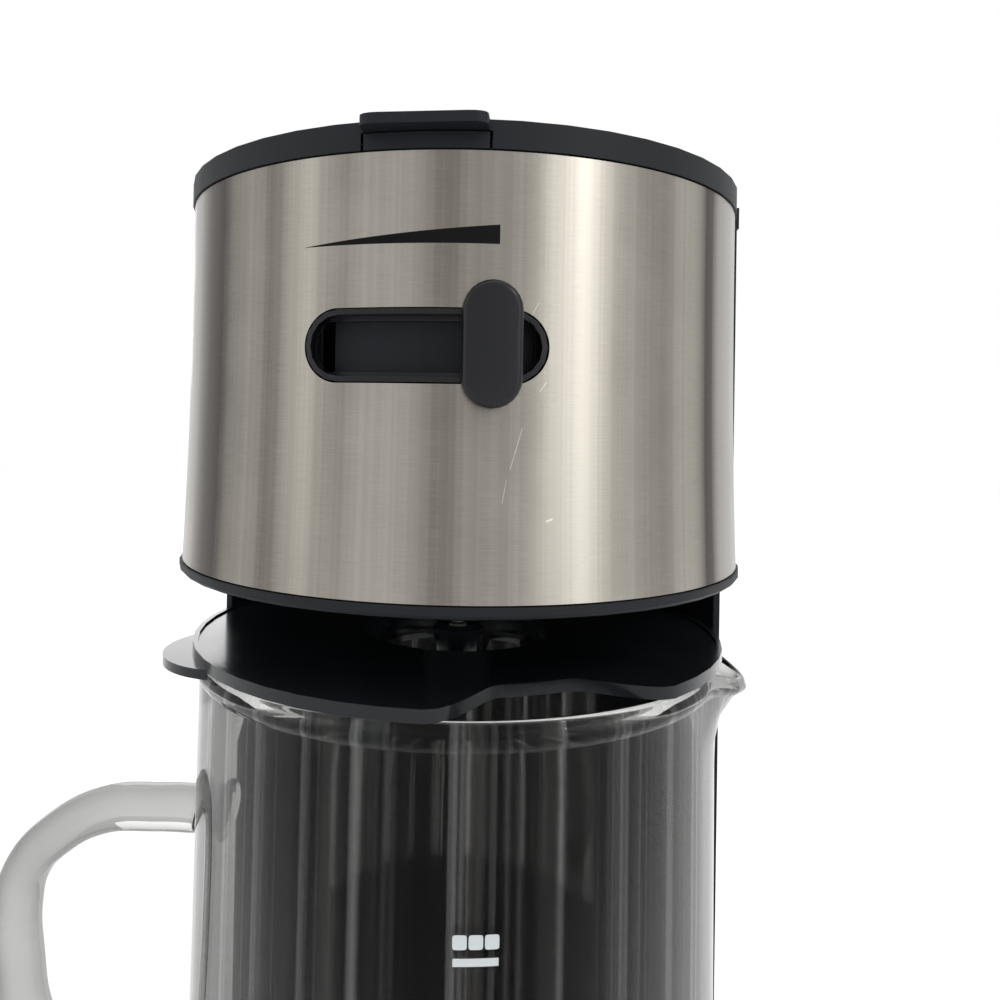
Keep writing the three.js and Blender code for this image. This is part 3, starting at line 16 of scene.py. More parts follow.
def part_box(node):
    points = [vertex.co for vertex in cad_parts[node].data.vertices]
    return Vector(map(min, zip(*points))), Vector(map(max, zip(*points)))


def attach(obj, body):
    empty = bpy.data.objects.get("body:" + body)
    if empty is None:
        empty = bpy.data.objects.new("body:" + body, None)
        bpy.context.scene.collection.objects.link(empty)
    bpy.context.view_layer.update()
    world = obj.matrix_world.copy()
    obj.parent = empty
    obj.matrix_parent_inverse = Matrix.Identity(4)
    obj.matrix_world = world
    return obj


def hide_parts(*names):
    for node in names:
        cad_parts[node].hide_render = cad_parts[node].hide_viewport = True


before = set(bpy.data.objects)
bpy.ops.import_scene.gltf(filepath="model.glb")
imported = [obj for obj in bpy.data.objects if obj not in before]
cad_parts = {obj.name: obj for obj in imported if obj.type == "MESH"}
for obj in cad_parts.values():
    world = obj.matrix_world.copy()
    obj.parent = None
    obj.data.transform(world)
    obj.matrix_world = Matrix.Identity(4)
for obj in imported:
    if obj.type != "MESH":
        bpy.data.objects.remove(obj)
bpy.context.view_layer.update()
print("part loaded:", len(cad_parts), "pieces")

# %% [markdown]
# The head, the pitcher and the seat are round and share one upright axis. It could be typed in
# as two numbers, but they would be wrong once the part changed. The seat's rubber disc is centred
# on the axis, so the middle of its box gives it, and the boxes of other pieces give the heights.

# %% Measures taken from the part
MM = 0.001


def middle(node):
    """The middle of a piece's box."""
    low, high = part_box(node)
    return (low + high) / 2


AXIS = middle("seat_mat")
SEAT_Z, RIM_Z = (corner.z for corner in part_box("pitcher_glass"))
BAND_LOW, BAND_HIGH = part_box("steel_band")
STEEL_LOW, STEEL_HIGH = BAND_LOW.z, BAND_HIGH.z
STEEL_FLARE = 1.5 * MM
STEEL_TOP_R = (BAND_HIGH.x - BAND_LOW.x) / 2 - STEEL_FLARE
print("axis at", round(AXIS.x / MM, 2), round(AXIS.y / MM, 2), "mm")
print("steel's radius at the top", round(STEEL_TOP_R / MM, 3), "mm")

# %% [markdown]
# The photograph was taken from very near, a hand's reach in front of the head, a little to its
# right and just below the slot, so the round lid and the pitcher show clear ovals. A camera could
# be pointed at the middle of the machine, but a tilted camera makes upright sides lean. This one
# looks almost level, and its image is shifted instead, as a crop of a larger picture is.

# %% Camera
EYE_DISTANCE = 256.3 * MM
EYE_HEIGHT = 277.35 * MM
EYE_AZIMUTH = math.radians(6.41)
EYE_PITCH = math.radians(0.62)
EYE_ROLL = math.radians(1.02)
LENS = 30.92
SENSOR = 36.0
SHIFT_X = 0.0383
SHIFT_Y = -0.092
NEAREST_SEEN = 5 * MM


def photo_camera():
    camera = bpy.data.objects.new("camera", bpy.data.cameras.new("camera"))
    bpy.context.collection.objects.link(camera)
    aim = Matrix.Rotation(EYE_AZIMUTH, 4, "Z") @ Matrix.Rotation(math.pi / 2 + EYE_PITCH, 4, "X")
    place = Vector((
        AXIS.x + EYE_DISTANCE * math.sin(EYE_AZIMUTH),
        AXIS.y - EYE_DISTANCE * math.cos(EYE_AZIMUTH),
        EYE_HEIGHT,
    ))
    camera.matrix_world = Matrix.Translation(place) @ aim @ Matrix.Rotation(EYE_ROLL, 4, "Z")
    camera.data.lens = LENS
    camera.data.sensor_width = SENSOR
    camera.data.shift_x = SHIFT_X
    camera.data.shift_y = SHIFT_Y
    camera.data.clip_start = NEAREST_SEEN
    bpy.context.scene.camera = camera
    return camera


camera = photo_camera()
print("camera", [round(value / MM, 1) for value in camera.matrix_world.translation])

# %% [markdown]
# The photograph has a plain white ground. It could be had by lighting a floor until it clips, but
# that light would flood the machine too. Blender's Light Path node tells which kind of ray asks
# for a colour. So the ground has one level for rays that light the scene, and another for those
# that show it: from the camera, off polished surfaces and through glass.

# %% A level for each kind of ray
SHOWING_RAYS = ("Is Camera Ray", "Is Glossy Ray", "Is Transmission Ray")


def level_by_ray(tree, lit, seen):
    """One level for rays that light the scene, another for those that show the ground."""
    light_path = tree.nodes.new("ShaderNodeLightPath")
    shows = light_path.outputs[SHOWING_RAYS[0]]
    for kind in SHOWING_RAYS[1:]:
        either = tree.nodes.new("ShaderNodeMath")
        either.operation = "MAXIMUM"
        tree.links.new(shows, either.inputs[0])
        tree.links.new(light_path.outputs[kind], either.inputs[1])
        shows = either.outputs[0]
    level = tree.nodes.new("ShaderNodeMapRange")
    level.inputs["To Min"].default_value = lit
    level.inputs["To Max"].default_value = seen
    tree.links.new(shows, level.inputs["Value"])
    return level.outputs["Result"]


print("the ground is seen where one of these is true:", ", ".join(SHOWING_RAYS))

# %% [markdown]
# The machine stands on a floor, or it would seem to float. A floor could catch shadows and
# nothing else, but polished pieces would then have no ground to mirror. This one is pale matt
# paint that glows a little where it is seen, so it runs into the white behind it and still keeps
# the machine's shadow.

# %% The pale floor
WHITE = (1, 1, 1, 1)
FLOOR_SIZE = 8.0
FLOOR_PAINT = (0.90, 0.90, 0.90, 1)
FLOOR_GLOW = 0.34


def pale_floor():
    bm = bmesh.new()
    bmesh.ops.create_grid(bm, x_segments=1, y_segments=1, size=FLOOR_SIZE / 2)
    mesh = bpy.data.meshes.new("floor")
    bm.to_mesh(mesh)
    bm.free()
    floor = bpy.data.objects.new("floor", mesh)
    bpy.context.collection.objects.link(floor)
    paint = bpy.data.materials.new("floor_paint")
    paint.use_nodes = True
    tree = paint.node_tree
    shader = tree.nodes["Principled BSDF"]
    shader.inputs["Base Color"].default_value = FLOOR_PAINT
    shader.inputs["Roughness"].default_value = 1.0
    shader.inputs["Specular IOR Level"].default_value = 0.0
    shader.inputs["Emission Color"].default_value = WHITE
    tree.links.new(level_by_ray(tree, 0.0, FLOOR_GLOW), shader.inputs["Emission Strength"])
    mesh.materials.append(paint)
    return floor


floor = pale_floor()
print("floor of", FLOOR_SIZE, "m")

# %% [markdown]
# Round the floor is the world, as the white walls of a studio would be. A backdrop could stand
# there, but its edges would show in the steel. The world is pure white where it is seen and a
# little weaker as a light, so that the black pieces stay black. The Standard view shows every
# colour as it is written.

# %% The white world
WORLD_LIGHT = 0.72
WORLD_SEEN = 1.0


def white_world():
    world = bpy.data.worlds.new("studio")
    bpy.context.scene.world = world
    world.use_nodes = True
    tree = world.node_tree
    ground = tree.nodes["Background"]
    ground.inputs["Color"].default_value = WHITE
    tree.links.new(level_by_ray(tree, WORLD_LIGHT, WORLD_SEEN), ground.inputs["Strength"])
    return world


world = white_world()
bpy.context.scene.view_settings.view_transform = "Standard"
print("world:", world.name, "as a light", WORLD_LIGHT, "and as seen", WORLD_SEEN)

# %% [markdown]
# Steel and gloss are seen by what they mirror, so small lamps would show as hard dots. These are
# large area lamps, like windows. The brightest stands to the right of the camera, and the steel
# shows it in the wide bright streak right of the slot, which the steel's colour also holds as a
# painted reflection. One behind the machine is mirrored in the left side of the pitcher's lid.
# Only the bulb is small, to give the glass and the plastic edges their sharp points of light.

# %% Lamps
LAMPS = {
    "window_right": {"place": (1.45, -1.15, 0.85), "size": (0.90, 1.70), "watts": 6.4},
    "window_left": {"place": (-1.50, -0.95, 0.80), "size": (0.80, 1.50), "watts": 2.2},
    "window_behind": {"place": (-0.72, 1.87, 0.72), "size": (1.00, 0.75), "watts": 3.0},
    "ceiling": {"place": (0.0, -0.1, 1.80), "size": (1.50, 1.50), "watts": 5.0},
    "bulb": {"place": (1.06, -0.67, 1.15), "size": (0.13, 0.13), "watts": 2.0},
}
LIT_POINT = Vector((AXIS.x, AXIS.y, (STEEL_LOW + RIM_Z) / 2))


def soft_lamp(name, place, size, watts):
    lamp = bpy.data.objects.new(name, bpy.data.lights.new(name, "AREA"))
    bpy.context.collection.objects.link(lamp)
    lamp.data.shape = "RECTANGLE"
    lamp.data.size, lamp.data.size_y = size
    lamp.data.energy = watts
    lamp.location = place
    lamp.rotation_euler = (LIT_POINT - Vector(place)).to_track_quat("-Z", "Y").to_euler()
    return lamp


for name, facts in LAMPS.items():
    soft_lamp(name, **facts)
print("lamps:", ", ".join(LAMPS))

# %% [markdown]
# A finish is a small network of nodes that feeds one shader. It could be wired by hand in the
# shader editor, but a dozen finishes would repeat the same steps. This class keeps each network
# short: every method adds a node, links or sets its inputs, and hands back its output.

# %% A finish and its nodes
RANGE_SOCKETS = ("From Min", "From Max", "To Min", "To Max")
# A Mix node has sockets of one name for every kind of value. These numbers are a colour's.
MIX_SHARE, MIX_FIRST, MIX_SECOND, MIX_RESULT = 0, 6, 7, 2
NOISE_DETAIL = 3.0


class Finish:
    """A material built node by node round its Principled shader."""

    def __init__(self, name, roughness=0.5, metallic=0.0, **sockets):
        self.material = bpy.data.materials.new(name)
        self.material.use_nodes = True
        self.nodes = self.material.node_tree.nodes
        self.links = self.material.node_tree.links
        self.shader = self.nodes["Principled BSDF"]
        self.set(self.shader, {"Roughness": roughness, "Metallic": metallic, **sockets})
        self.place = self.nodes.new("ShaderNodeTexCoord").outputs["Object"]

    def set(self, node, sockets):
        """Sets a node's inputs: an output is linked, anything else is a value."""
        for socket, value in sockets.items():
            if isinstance(value, bpy.types.NodeSocket):
                self.links.new(value, node.inputs[socket])
            else:
                node.inputs[socket].default_value = value

    def add(self, kind, settings=None, **sockets):
        """Adds a node of a kind, with its settings and its inputs."""
        node = self.nodes.new("ShaderNode" + kind)
        for setting, value in (settings or {}).items():
            setattr(node, setting, value)
        self.set(node, sockets)
        return node

    def math(self, operation, *values):
        node = self.add("Math", {"operation": operation})
        self.set(node, dict(enumerate(values)))
        return node.outputs[0]

    def plus(self, value, other, times=1.0):
        """A value with a multiple of another added to it."""
        return self.math("MULTIPLY_ADD", other, times, value)

    def noise(self, scale, detail=NOISE_DETAIL, vector=None):
        """Noise whose scale counts patches per metre."""
        vector = vector or self.place
        return self.add("TexNoise", Vector=vector, Scale=scale, Detail=detail).outputs["Fac"]

    def spread(self, value, low, high, to_low=0.0, to_high=1.0):
        """Stretches a value from one range to another, and stops it at the ends."""
        node = self.add("MapRange", {"clamp": True}, Value=value)
        self.set(node, dict(zip(RANGE_SOCKETS, (low, high, to_low, to_high))))
        return node.outputs["Result"]

    def mix(self, share, first, second):
        """A colour between two colours."""
        node = self.add("Mix", {"data_type": "RGBA"})
        self.set(node, {MIX_SHARE: share, MIX_FIRST: first, MIX_SECOND: second})
        return node.outputs[MIX_RESULT]

    def bump(self, height, depth, strength):
        """Relief of a depth in metres from a height between 0 and 1."""
        node = self.add("Bump", Height=height, Distance=depth, Strength=strength)
        self.set(self.shader, {"Normal": node.outputs["Normal"]})


print("a finish has the steps", [step for step in vars(Finish) if not step.startswith("_")])

# %% [markdown]
# Colours are read off a screen as numbers from 0 to 255, but a shader wants the amount of light.
# The screen's numbers follow a curve. Dividing by 255 alone would make every dark colour too
# pale, so this helper undoes the curve, as Blender's own colour picker does.

# %% Colours as a screen shows them
SCREEN_WHITE = 255
DARK_END, DARK_SLOPE = 0.04045, 12.92
CURVE_LIFT, CURVE_POWER = 0.055, 2.4


def light_of(channel):
    """The light of one channel, from 0 to 1."""
    share = channel / SCREEN_WHITE
    if share <= DARK_END:
        return share / DARK_SLOPE
    return ((share + CURVE_LIFT) / (1 + CURVE_LIFT)) ** CURVE_POWER


def rgb(*channels):
    """A shader's colour from the red, green and blue that a screen shows."""
    return (*(light_of(channel) for channel in channels), 1.0)


print("middle grey on a screen is this much light:", round(light_of(SCREEN_WHITE / 2), 3))

# %% [markdown]
# The black parts are moulded plastic. The lid, the ring and the housings have a fine spark-eroded
# texture that scatters light, and fingers polish it unevenly. The knob, the slot's insert and the
# pitcher's lid come from smoother moulds. One black colour would look painted. So slow noise
# moves each finish between two tones and two degrees of gloss, and fine noise gives its relief.

# %% Moulded plastics
CLOUDS_PER_METRE = 34
CLOUD_SPAN = (0.3, 0.7)
SHINE_SPAN = (0.25, 0.75)
MOULD_DETAIL = 2.0
MOULD_RELIEF = 0.6
MOULDED = {
    "matte_black": {
        "tones": (rgb(17, 20, 24), rgb(25, 29, 34)), "shine": (0.46, 0.60),
        "ripples_per_metre": 3600, "depth": 0.009 * MM, "Specular IOR Level": 0.20,
    },
    "gloss_black": {
        "tones": (rgb(11, 12, 16), rgb(17, 18, 23)), "shine": (0.22, 0.34),
        "ripples_per_metre": 220, "depth": 0.03 * MM, "Specular IOR Level": 0.28,
    },
    "polished_black": {
        "tones": (rgb(24, 27, 31), rgb(30, 34, 38)), "shine": (0.14, 0.24),
        "ripples_per_metre": 220, "depth": 0.02 * MM, "Specular IOR Level": 0.16,
        "Coat Weight": 0.6, "Coat Roughness": 0.12, "Coat IOR": 1.25,
    },
}


def moulded(name, tones, shine, ripples_per_metre, depth, **sockets):
    """Plastic: two tones, a range of roughness, and the relief of its mould."""
    finish = Finish(name, **sockets)
    clouds = finish.noise(CLOUDS_PER_METRE)
    ripples = finish.noise(ripples_per_metre, MOULD_DETAIL)
    finish.set(finish.shader, {
        "Base Color": finish.mix(finish.spread(clouds, *CLOUD_SPAN), *tones),
        "Roughness": finish.spread(clouds, *SHINE_SPAN, *shine),
    })
    finish.bump(ripples, depth, MOULD_RELIEF)
    return finish.material


MATTE_BLACK, GLOSS_BLACK, POLISHED_BLACK = (
    moulded(name, **facts) for name, facts in MOULDED.items()
)
print("plastics:", ", ".join(MOULDED))

# %% [markdown]
# Steel and glass both go round the axis, and what they show changes with the angle and the
# height. Their surfaces could be unrolled into UV maps. The angle round the axis and the height
# already say where a point lies, so a few maths nodes do the same for any mesh.

# %% Finishes laid round the axis


class RoundFinish(Finish):
    """A finish laid out by the angle from the front, and the height."""

    def __init__(self, name, **sockets):
        super().__init__(name, **sockets)
        centred = self.add("Mapping", Vector=self.place, Location=(-AXIS.x, -AXIS.y, 0))
        x, y, z = self.add("SeparateXYZ", Vector=centred.outputs[0]).outputs
        self.angle = self.math("ARCTAN2", x, self.math("MULTIPLY", y, -1.0))
        self.height = z

    def bell(self, middle_deg, width_deg):
        """1 at an angle, falling off softly to both sides."""
        off = self.math("SUBTRACT", self.angle, math.radians(middle_deg))
        share = self.math("DIVIDE", off, math.radians(width_deg))
        square = self.math("MULTIPLY", share, share)
        return self.math("POWER", math.e, self.math("MULTIPLY", square, -1.0))

    def banded(self, value, bands):
        """Adds upright bands: each has a count per radian, and how far it lifts or lowers."""
        for per_radian, lift in bands:
            line = self.add("CombineXYZ", X=self.math("MULTIPLY", self.angle, per_radian))
            pattern = self.noise(1.0, vector=line.outputs[0])
            value = self.plus(value, self.spread(pattern, *CLOUD_SPAN, -lift, lift))
        return value

    def scratch(self, angle_deg, z_mm, length_mm, tilt_deg, half_width_mm):
        """1 on a short straight line, 0 elsewhere."""
        across = self.math("SUBTRACT", self.angle, math.radians(angle_deg))
        across = self.math("MULTIPLY", across, STEEL_TOP_R)
        up = self.math("SUBTRACT", self.height, z_mm * MM)
        cos, sin = math.cos(math.radians(tilt_deg)), math.sin(math.radians(tilt_deg))
        along = self.plus(self.math("MULTIPLY", across, cos), up, sin)
        aside = self.plus(self.math("MULTIPLY", across, -sin), up, cos)
        on_length = self.math("LESS_THAN", self.math("ABSOLUTE", along), length_mm * MM / 2)
        on_width = self.math("LESS_THAN", self.math("ABSOLUTE", aside), half_width_mm * MM)
        return self.math("MULTIPLY", on_length, on_width)


print("round finishes add", [step for step in vars(RoundFinish) if not step.startswith("_")])

# %% [markdown]
# The steel sheet was brushed along its length and then bent, so its fine lines run level. A
# real groove for each would take millions of faces. Noise that is stretched along the arc and
# squeezed in height gives the same lines, for the tone and for a very slight relief.

# %% The brushing of the steel
BRUSHED_PER_METRE = 9000
BRUSHED_LENGTH = 6 * MM
BRUSHED_DETAIL = 4.0


def brushing(steel):
    """Noise in thin lines that run level round the head."""
    along = steel.math("MULTIPLY", steel.angle, STEEL_TOP_R / BRUSHED_LENGTH)
    up = steel.math("MULTIPLY", steel.height, BRUSHED_PER_METRE)
    lines = steel.add("CombineXYZ", X=along, Y=up)
    return steel.noise(1.0, BRUSHED_DETAIL, lines.outputs[0])


print("brushing of", BRUSHED_PER_METRE, "lines to the metre")

# %% [markdown]
# Brushed lines smear each reflection into an upright streak. A photograph of brushed metal could
# be laid on the sheet, but it would bring the light of another room. Here the shader smears what
# it mirrors, and the steel's colour holds painted reflections as well: noise that changes only
# with the angle paints faint bands, and a table paints the wide bright and dark streaks that the
# photograph shows. A few hazy patches and fine scratches are wear.

# %% Brushed steel
# The dark and light ends of the steel's colour, which its painted reflections span.
STEEL_AND_REFLECTION_TONES = (rgb(58, 50, 45), rgb(238, 233, 221))
STEEL_SHINE = (0.25, 0.33)
STEEL_SMEAR = {"Anisotropic": 0.7, "Anisotropic Rotation": 0.25}
BASE_TONE = 0.31
# Faint upright bands of painted reflection: a count per radian, and how far each lifts or lowers.
PAINTED_REFLECTION_BANDS = ((14.0, 0.04), (70.0, 0.025))
BRUSHED_LIFT = 0.03
BRUSHED_DEPTH = 0.008 * MM
BRUSHED_RELIEF = 0.5
HAZE_PER_METRE = 60
HAZE_DETAIL = 5.0
HAZE_LIFT = 0.015
HAZE_SPAN = (0.35, 0.75)
HAZE_SHINE_SPAN = (0.3, 0.8)
SCRATCH_LIFT = 0.22
# A painted reflection streak: its angle, its width, both in degrees, and how much lighter it is.
PAINTED_REFLECTION_STREAKS = (
    (-76, 10, -0.16), (-45, 7, -0.36), (-27, 3.5, -0.16), (-20.5, 2, 0.02), (-15, 4, -0.06),
    (-6, 5, 0.05), (4, 4, -0.14), (13, 4, -0.04), (20, 3, 0.09), (26, 2.4, 0.19),
    (33, 3, 0.02), (41, 4, -0.06), (49, 4, 0.05), (56.5, 3, -0.36), (80, 5, -0.16),
)
# A scratch: its angle in degrees, its height and length in mm, its tilt, and half its width.
SCRATCHES = (
    (15.0, 271, 9.0, 74, 0.10), (13.2, 262, 5.0, 80, 0.08), (17.6, 300, 4.0, 62, 0.08),
    (20.4, 256, 1.6, 20, 0.22), (19.2, 284, 2.4, 55, 0.10),
)


def brushed_steel():
    steel = RoundFinish("brushed_steel", metallic=1.0, **STEEL_SMEAR)
    lines = brushing(steel)
    haze = steel.noise(HAZE_PER_METRE, HAZE_DETAIL)
    # This tone holds painted reflections as well as haze, brushed lines and scratches.
    tone_and_reflections = steel.banded(BASE_TONE, PAINTED_REFLECTION_BANDS)
    # Each streak paints a reflection into the colour, lighter or darker by angle.
    for middle_deg, width_deg, lift in PAINTED_REFLECTION_STREAKS:
        tone_and_reflections = steel.plus(tone_and_reflections, steel.bell(middle_deg, width_deg), lift)
    tone_and_reflections = steel.plus(tone_and_reflections, steel.spread(haze, *HAZE_SPAN, -HAZE_LIFT, HAZE_LIFT))
    tone_and_reflections = steel.plus(tone_and_reflections, steel.spread(lines, *CLOUD_SPAN, -BRUSHED_LIFT, BRUSHED_LIFT))
    for line in SCRATCHES:
        tone_and_reflections = steel.plus(tone_and_reflections, steel.scratch(*line), SCRATCH_LIFT)
    steel.set(steel.shader, {
        "Base Color": steel.mix(tone_and_reflections, *STEEL_AND_REFLECTION_TONES),
        "Roughness": steel.spread(haze, *HAZE_SHINE_SPAN, *STEEL_SHINE),
    })
    steel.bump(lines, BRUSHED_DEPTH, BRUSHED_RELIEF)
    return steel.material


STEEL = brushed_steel()
print("steel with", len(PAINTED_REFLECTION_STREAKS), "streaks and", len(SCRATCHES), "scratches")

# %% [markdown]
# The pitcher is thick clear glass. Glass could be a surface without depth, but thick glass bends
# what is behind it, so the mesh has a real wall and the shader lets light through it. Pressed
# glass is never quite even, so a slow ripple bends the view. A faint smoke fills the wall. Where
# the wall is seen aslant, at the pitcher's sides, its colour is darker: painted shade for the
# dark edges of thick glass. A thin coat, strong in some upright bands and absent in others, gives
# the soft reflections of a room with windows.

# %% Glass
GLASS_INDEX = 1.47
GLASS_TONES = (rgb(248, 251, 250), rgb(240, 239, 236))
TINT_PER_METRE = 12
PAINTED_EDGE_SHADE = rgb(74, 75, 73)
EDGE_BLEND = 0.5
EDGE_SPAN = (0.12, 0.80)
SMOKE_TONE = rgb(204, 204, 203)
SMOKE_DENSITY = 100.0
SHEEN_TONES = (rgb(60, 58, 58), rgb(255, 250, 244))
SHEEN_BANDS = ((9.0, 0.5), (31.0, 0.25))
COAT_BANDS = ((13.0, 1.0), (37.0, 0.6))
COAT_SPAN = (0.15, 1.1)
COAT_INDEX = 1.7
COAT_ROUGHNESS = 0.04
SMEARS_PER_METRE = 90
SMEAR_SPAN = (0.4, 0.8)
SMEAR_ROUGHNESS = (0.0, 0.03)
RIPPLES_PER_METRE = 16
RIPPLE_DEPTH = 0.4 * MM
RIPPLE_RELIEF = 0.3


def clear_glass():
    glass = RoundFinish("clear_glass", **{"Transmission Weight": 1.0, "IOR": GLASS_INDEX})
    facing = glass.add("LayerWeight", Blend=EDGE_BLEND).outputs["Facing"]
    body = glass.mix(glass.noise(TINT_PER_METRE), *GLASS_TONES)
    smears = glass.noise(SMEARS_PER_METRE)
    glass.set(glass.shader, {
        # Towards its edges the glass's colour darkens as painted shade.
        "Base Color": glass.mix(glass.spread(facing, *EDGE_SPAN), body, PAINTED_EDGE_SHADE),
        "Roughness": glass.spread(smears, *SMEAR_SPAN, *SMEAR_ROUGHNESS),
        "Specular Tint": glass.mix(glass.banded(0.0, SHEEN_BANDS), *SHEEN_TONES),
        "Coat Weight": glass.spread(glass.banded(0.0, COAT_BANDS), *COAT_SPAN),
        "Coat IOR": COAT_INDEX,
        "Coat Roughness": COAT_ROUGHNESS,
    })
    glass.bump(glass.noise(RIPPLES_PER_METRE, 0.0), RIPPLE_DEPTH, RIPPLE_RELIEF)
    smoke = glass.add("VolumeAbsorption", Color=SMOKE_TONE, Density=SMOKE_DENSITY)
    glass.set(glass.nodes["Material Output"], {"Volume": smoke.outputs[0]})
    return glass.material


GLASS = clear_glass()
print("glass:", GLASS.name)

# %% [markdown]
# The small parts have plain finishes of their own: rubber, silicone, zinc-plated steel, cast
# aluminium and a red lens. Each could be a network of its own, but they differ only in their
# numbers. So one recipe serves all, and a table holds the numbers.

# %% Small finishes
SHINE_PLAY = 0.06
PLAIN_RELIEF = 0.5
PLAIN = {
    "rubber": {
        "tones": (rgb(22, 22, 23), rgb(34, 34, 35)), "roughness": 0.82,
        "grains_per_metre": 1500, "depth": 0.06 * MM,
    },
    "silicone": {
        "tones": (rgb(196, 196, 190), rgb(216, 216, 210)), "roughness": 0.62,
        "grains_per_metre": 400, "depth": 0.03 * MM,
    },
    "hardware": {
        "tones": (rgb(146, 148, 152), rgb(178, 180, 183)), "roughness": 0.30,
        "grains_per_metre": 900, "depth": 0.02 * MM, "metallic": 1.0,
    },
    "aluminium": {
        "tones": (rgb(168, 171, 174), rgb(190, 192, 195)), "roughness": 0.40,
        "grains_per_metre": 1200, "depth": 0.03 * MM, "metallic": 1.0,
    },
    "red_lens": {
        "tones": (rgb(150, 26, 20), rgb(190, 42, 32)), "roughness": 0.18,
        "grains_per_metre": 300, "depth": 0.02 * MM,
    },
}


def plain(name, tones, roughness, grains_per_metre, depth, **sockets):
    """A finish that varies between two tones, with a fine relief."""
    finish = Finish(name, **sockets)
    clouds = finish.noise(CLOUDS_PER_METRE)
    shine = (roughness - SHINE_PLAY, roughness + SHINE_PLAY)
    finish.set(finish.shader, {
        "Base Color": finish.mix(finish.spread(clouds, *CLOUD_SPAN), *tones),
        "Roughness": finish.spread(clouds, *CLOUD_SPAN, *shine),
    })
    finish.bump(finish.noise(grains_per_metre), depth, PLAIN_RELIEF)
    return finish.material


FINISH_OF = {name: plain(name, **facts) for name, facts in PLAIN.items()}
FINISH_OF["matte_black"] = MATTE_BLACK
print("small finishes:", ", ".join(FINISH_OF))

# %% [markdown]
# The water tank is thin clear plastic, a little cloudy and faintly blue. It could share the
# pitcher's glass, but plastic scatters some of the light, so it is not quite see-through. Most of
# the light goes through this shader, and the rest stops at its pale colour.

# %% Clear plastic of the tank
TANK_TONES = (rgb(196, 206, 210), rgb(178, 190, 196))
TANK_CLOUDS_PER_METRE = 30
TANK_SOCKETS = {"roughness": 0.12, "Transmission Weight": 0.85, "IOR": 1.49}


def clear_plastic():
    tank = Finish("clear_plastic", **TANK_SOCKETS)
    tint = tank.mix(tank.noise(TANK_CLOUDS_PER_METRE), *TANK_TONES)
    tank.set(tank.shader, {"Base Color": tint})
    return tank.material


FINISH_OF["clear_plastic"] = clear_plastic()
print("tank:", FINISH_OF["clear_plastic"].name)

# %% [markdown]
# The filter is a cup of woven cloth, gold in tone. Its wires could be modelled one by one, but
# they would need more faces than the rest of the machine. A wave in the material draws them. One
# slanting wave gives one row of wires, and a mirror image of it gives a row that crosses it. With
# three of them, rows cross on the cup's floor and all round its side, and the dark between them
# reads as holes.

# %% Gold filter cloth
WIRES_PER_METRE = 620
# A slanting wave turns by 10 radians a metre along each axis at a scale of 1.
WAVES_AT_SCALE_1 = 10 * math.sqrt(2) / math.tau
MIRRORS = ((1, 1, 1), (-1, 1, 1), (1, 1, -1))
CLOTH_TONES = (rgb(86, 66, 30), rgb(206, 176, 108))
CLOTH_ROUGHNESS = 0.35
CLOTH_DEPTH = 0.15 * MM
CLOTH_RELIEF = 0.8


def gold_mesh():
    cloth = Finish("gold_mesh", CLOTH_ROUGHNESS, metallic=1.0)
    wires = 0.0
    for mirror in MIRRORS:
        mirrored = cloth.add("Mapping", Vector=cloth.place, Scale=mirror)
        row = cloth.add(
            "TexWave", {"bands_direction": "DIAGONAL"},
            Vector=mirrored.outputs[0], Scale=WIRES_PER_METRE / WAVES_AT_SCALE_1,
        )
        wires = cloth.math("MAXIMUM", wires, row.outputs["Fac"])
    cloth.set(cloth.shader, {"Base Color": cloth.mix(wires, *CLOTH_TONES)})
    cloth.bump(wires, CLOTH_DEPTH, CLOTH_RELIEF)
    return cloth.material


FINISH_OF["gold_mesh"] = gold_mesh()
print("filter cloth with", WIRES_PER_METRE, "wires to the metre")

# %% [markdown]
# Every new piece takes the same last steps: shading, an object with a material, and the body it
# moves with. A face can be shaded flat or smooth. All are smooth here, and only an edge where two
# faces meet at more than the crease angle stays sharp, so curves look round and corners crisp.

# %% Helpers for pieces
CREASE = math.radians(32)


def shade(bm):
    """Smooth shading, with a crease at sharp and at open edges."""
    for face in bm.faces:
        face.smooth = True
    for edge in bm.edges:
        edge.smooth = len(edge.link_faces) == 2 and edge.calc_face_angle(0) < CREASE


def made(name, bm, material):
    """Turns a bmesh into an object with a material."""
    mesh = bpy.data.meshes.new(name)
    bm.to_mesh(mesh)
    bm.free()
    mesh.materials.append(material)
    obj = bpy.data.objects.new(name, mesh)
    bpy.context.collection.objects.link(obj)
    return obj


def dress(obj, body, slot=None, *nodes):
    """Says which body a piece rides on and which pieces it stands for. Its slot is not used."""
    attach(obj, body)
    if nodes:
        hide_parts(*nodes)
    print(obj.name, "on", body, "with", len(obj.data.polygons), "faces")
    return obj


print("edges over", round(math.degrees(CREASE)), "degrees stay sharp")

# %% [markdown]
# The pieces of the part are exact but sharp, and a moulded edge never is: it catches a thin line
# of light. Each piece could be modelled anew with its roundings. It is quicker and truer to copy
# its mesh, merge the loose triangles, dissolve them into whole faces, and let a Bevel modifier
# round the edges. The matt pieces come first.

# %% Rounded copies of the matt pieces
MERGE = 0.002 * MM
FLAT = math.radians(0.4)
BEVEL_SEGMENTS = 2
MATTE_ROUNDS_MM = {
    "base_housing": 0.8, "base_cover": 0.5, "rear_housing": 0.5, "head_shell": 0.3,
    "brew_basket": 0.3,
}


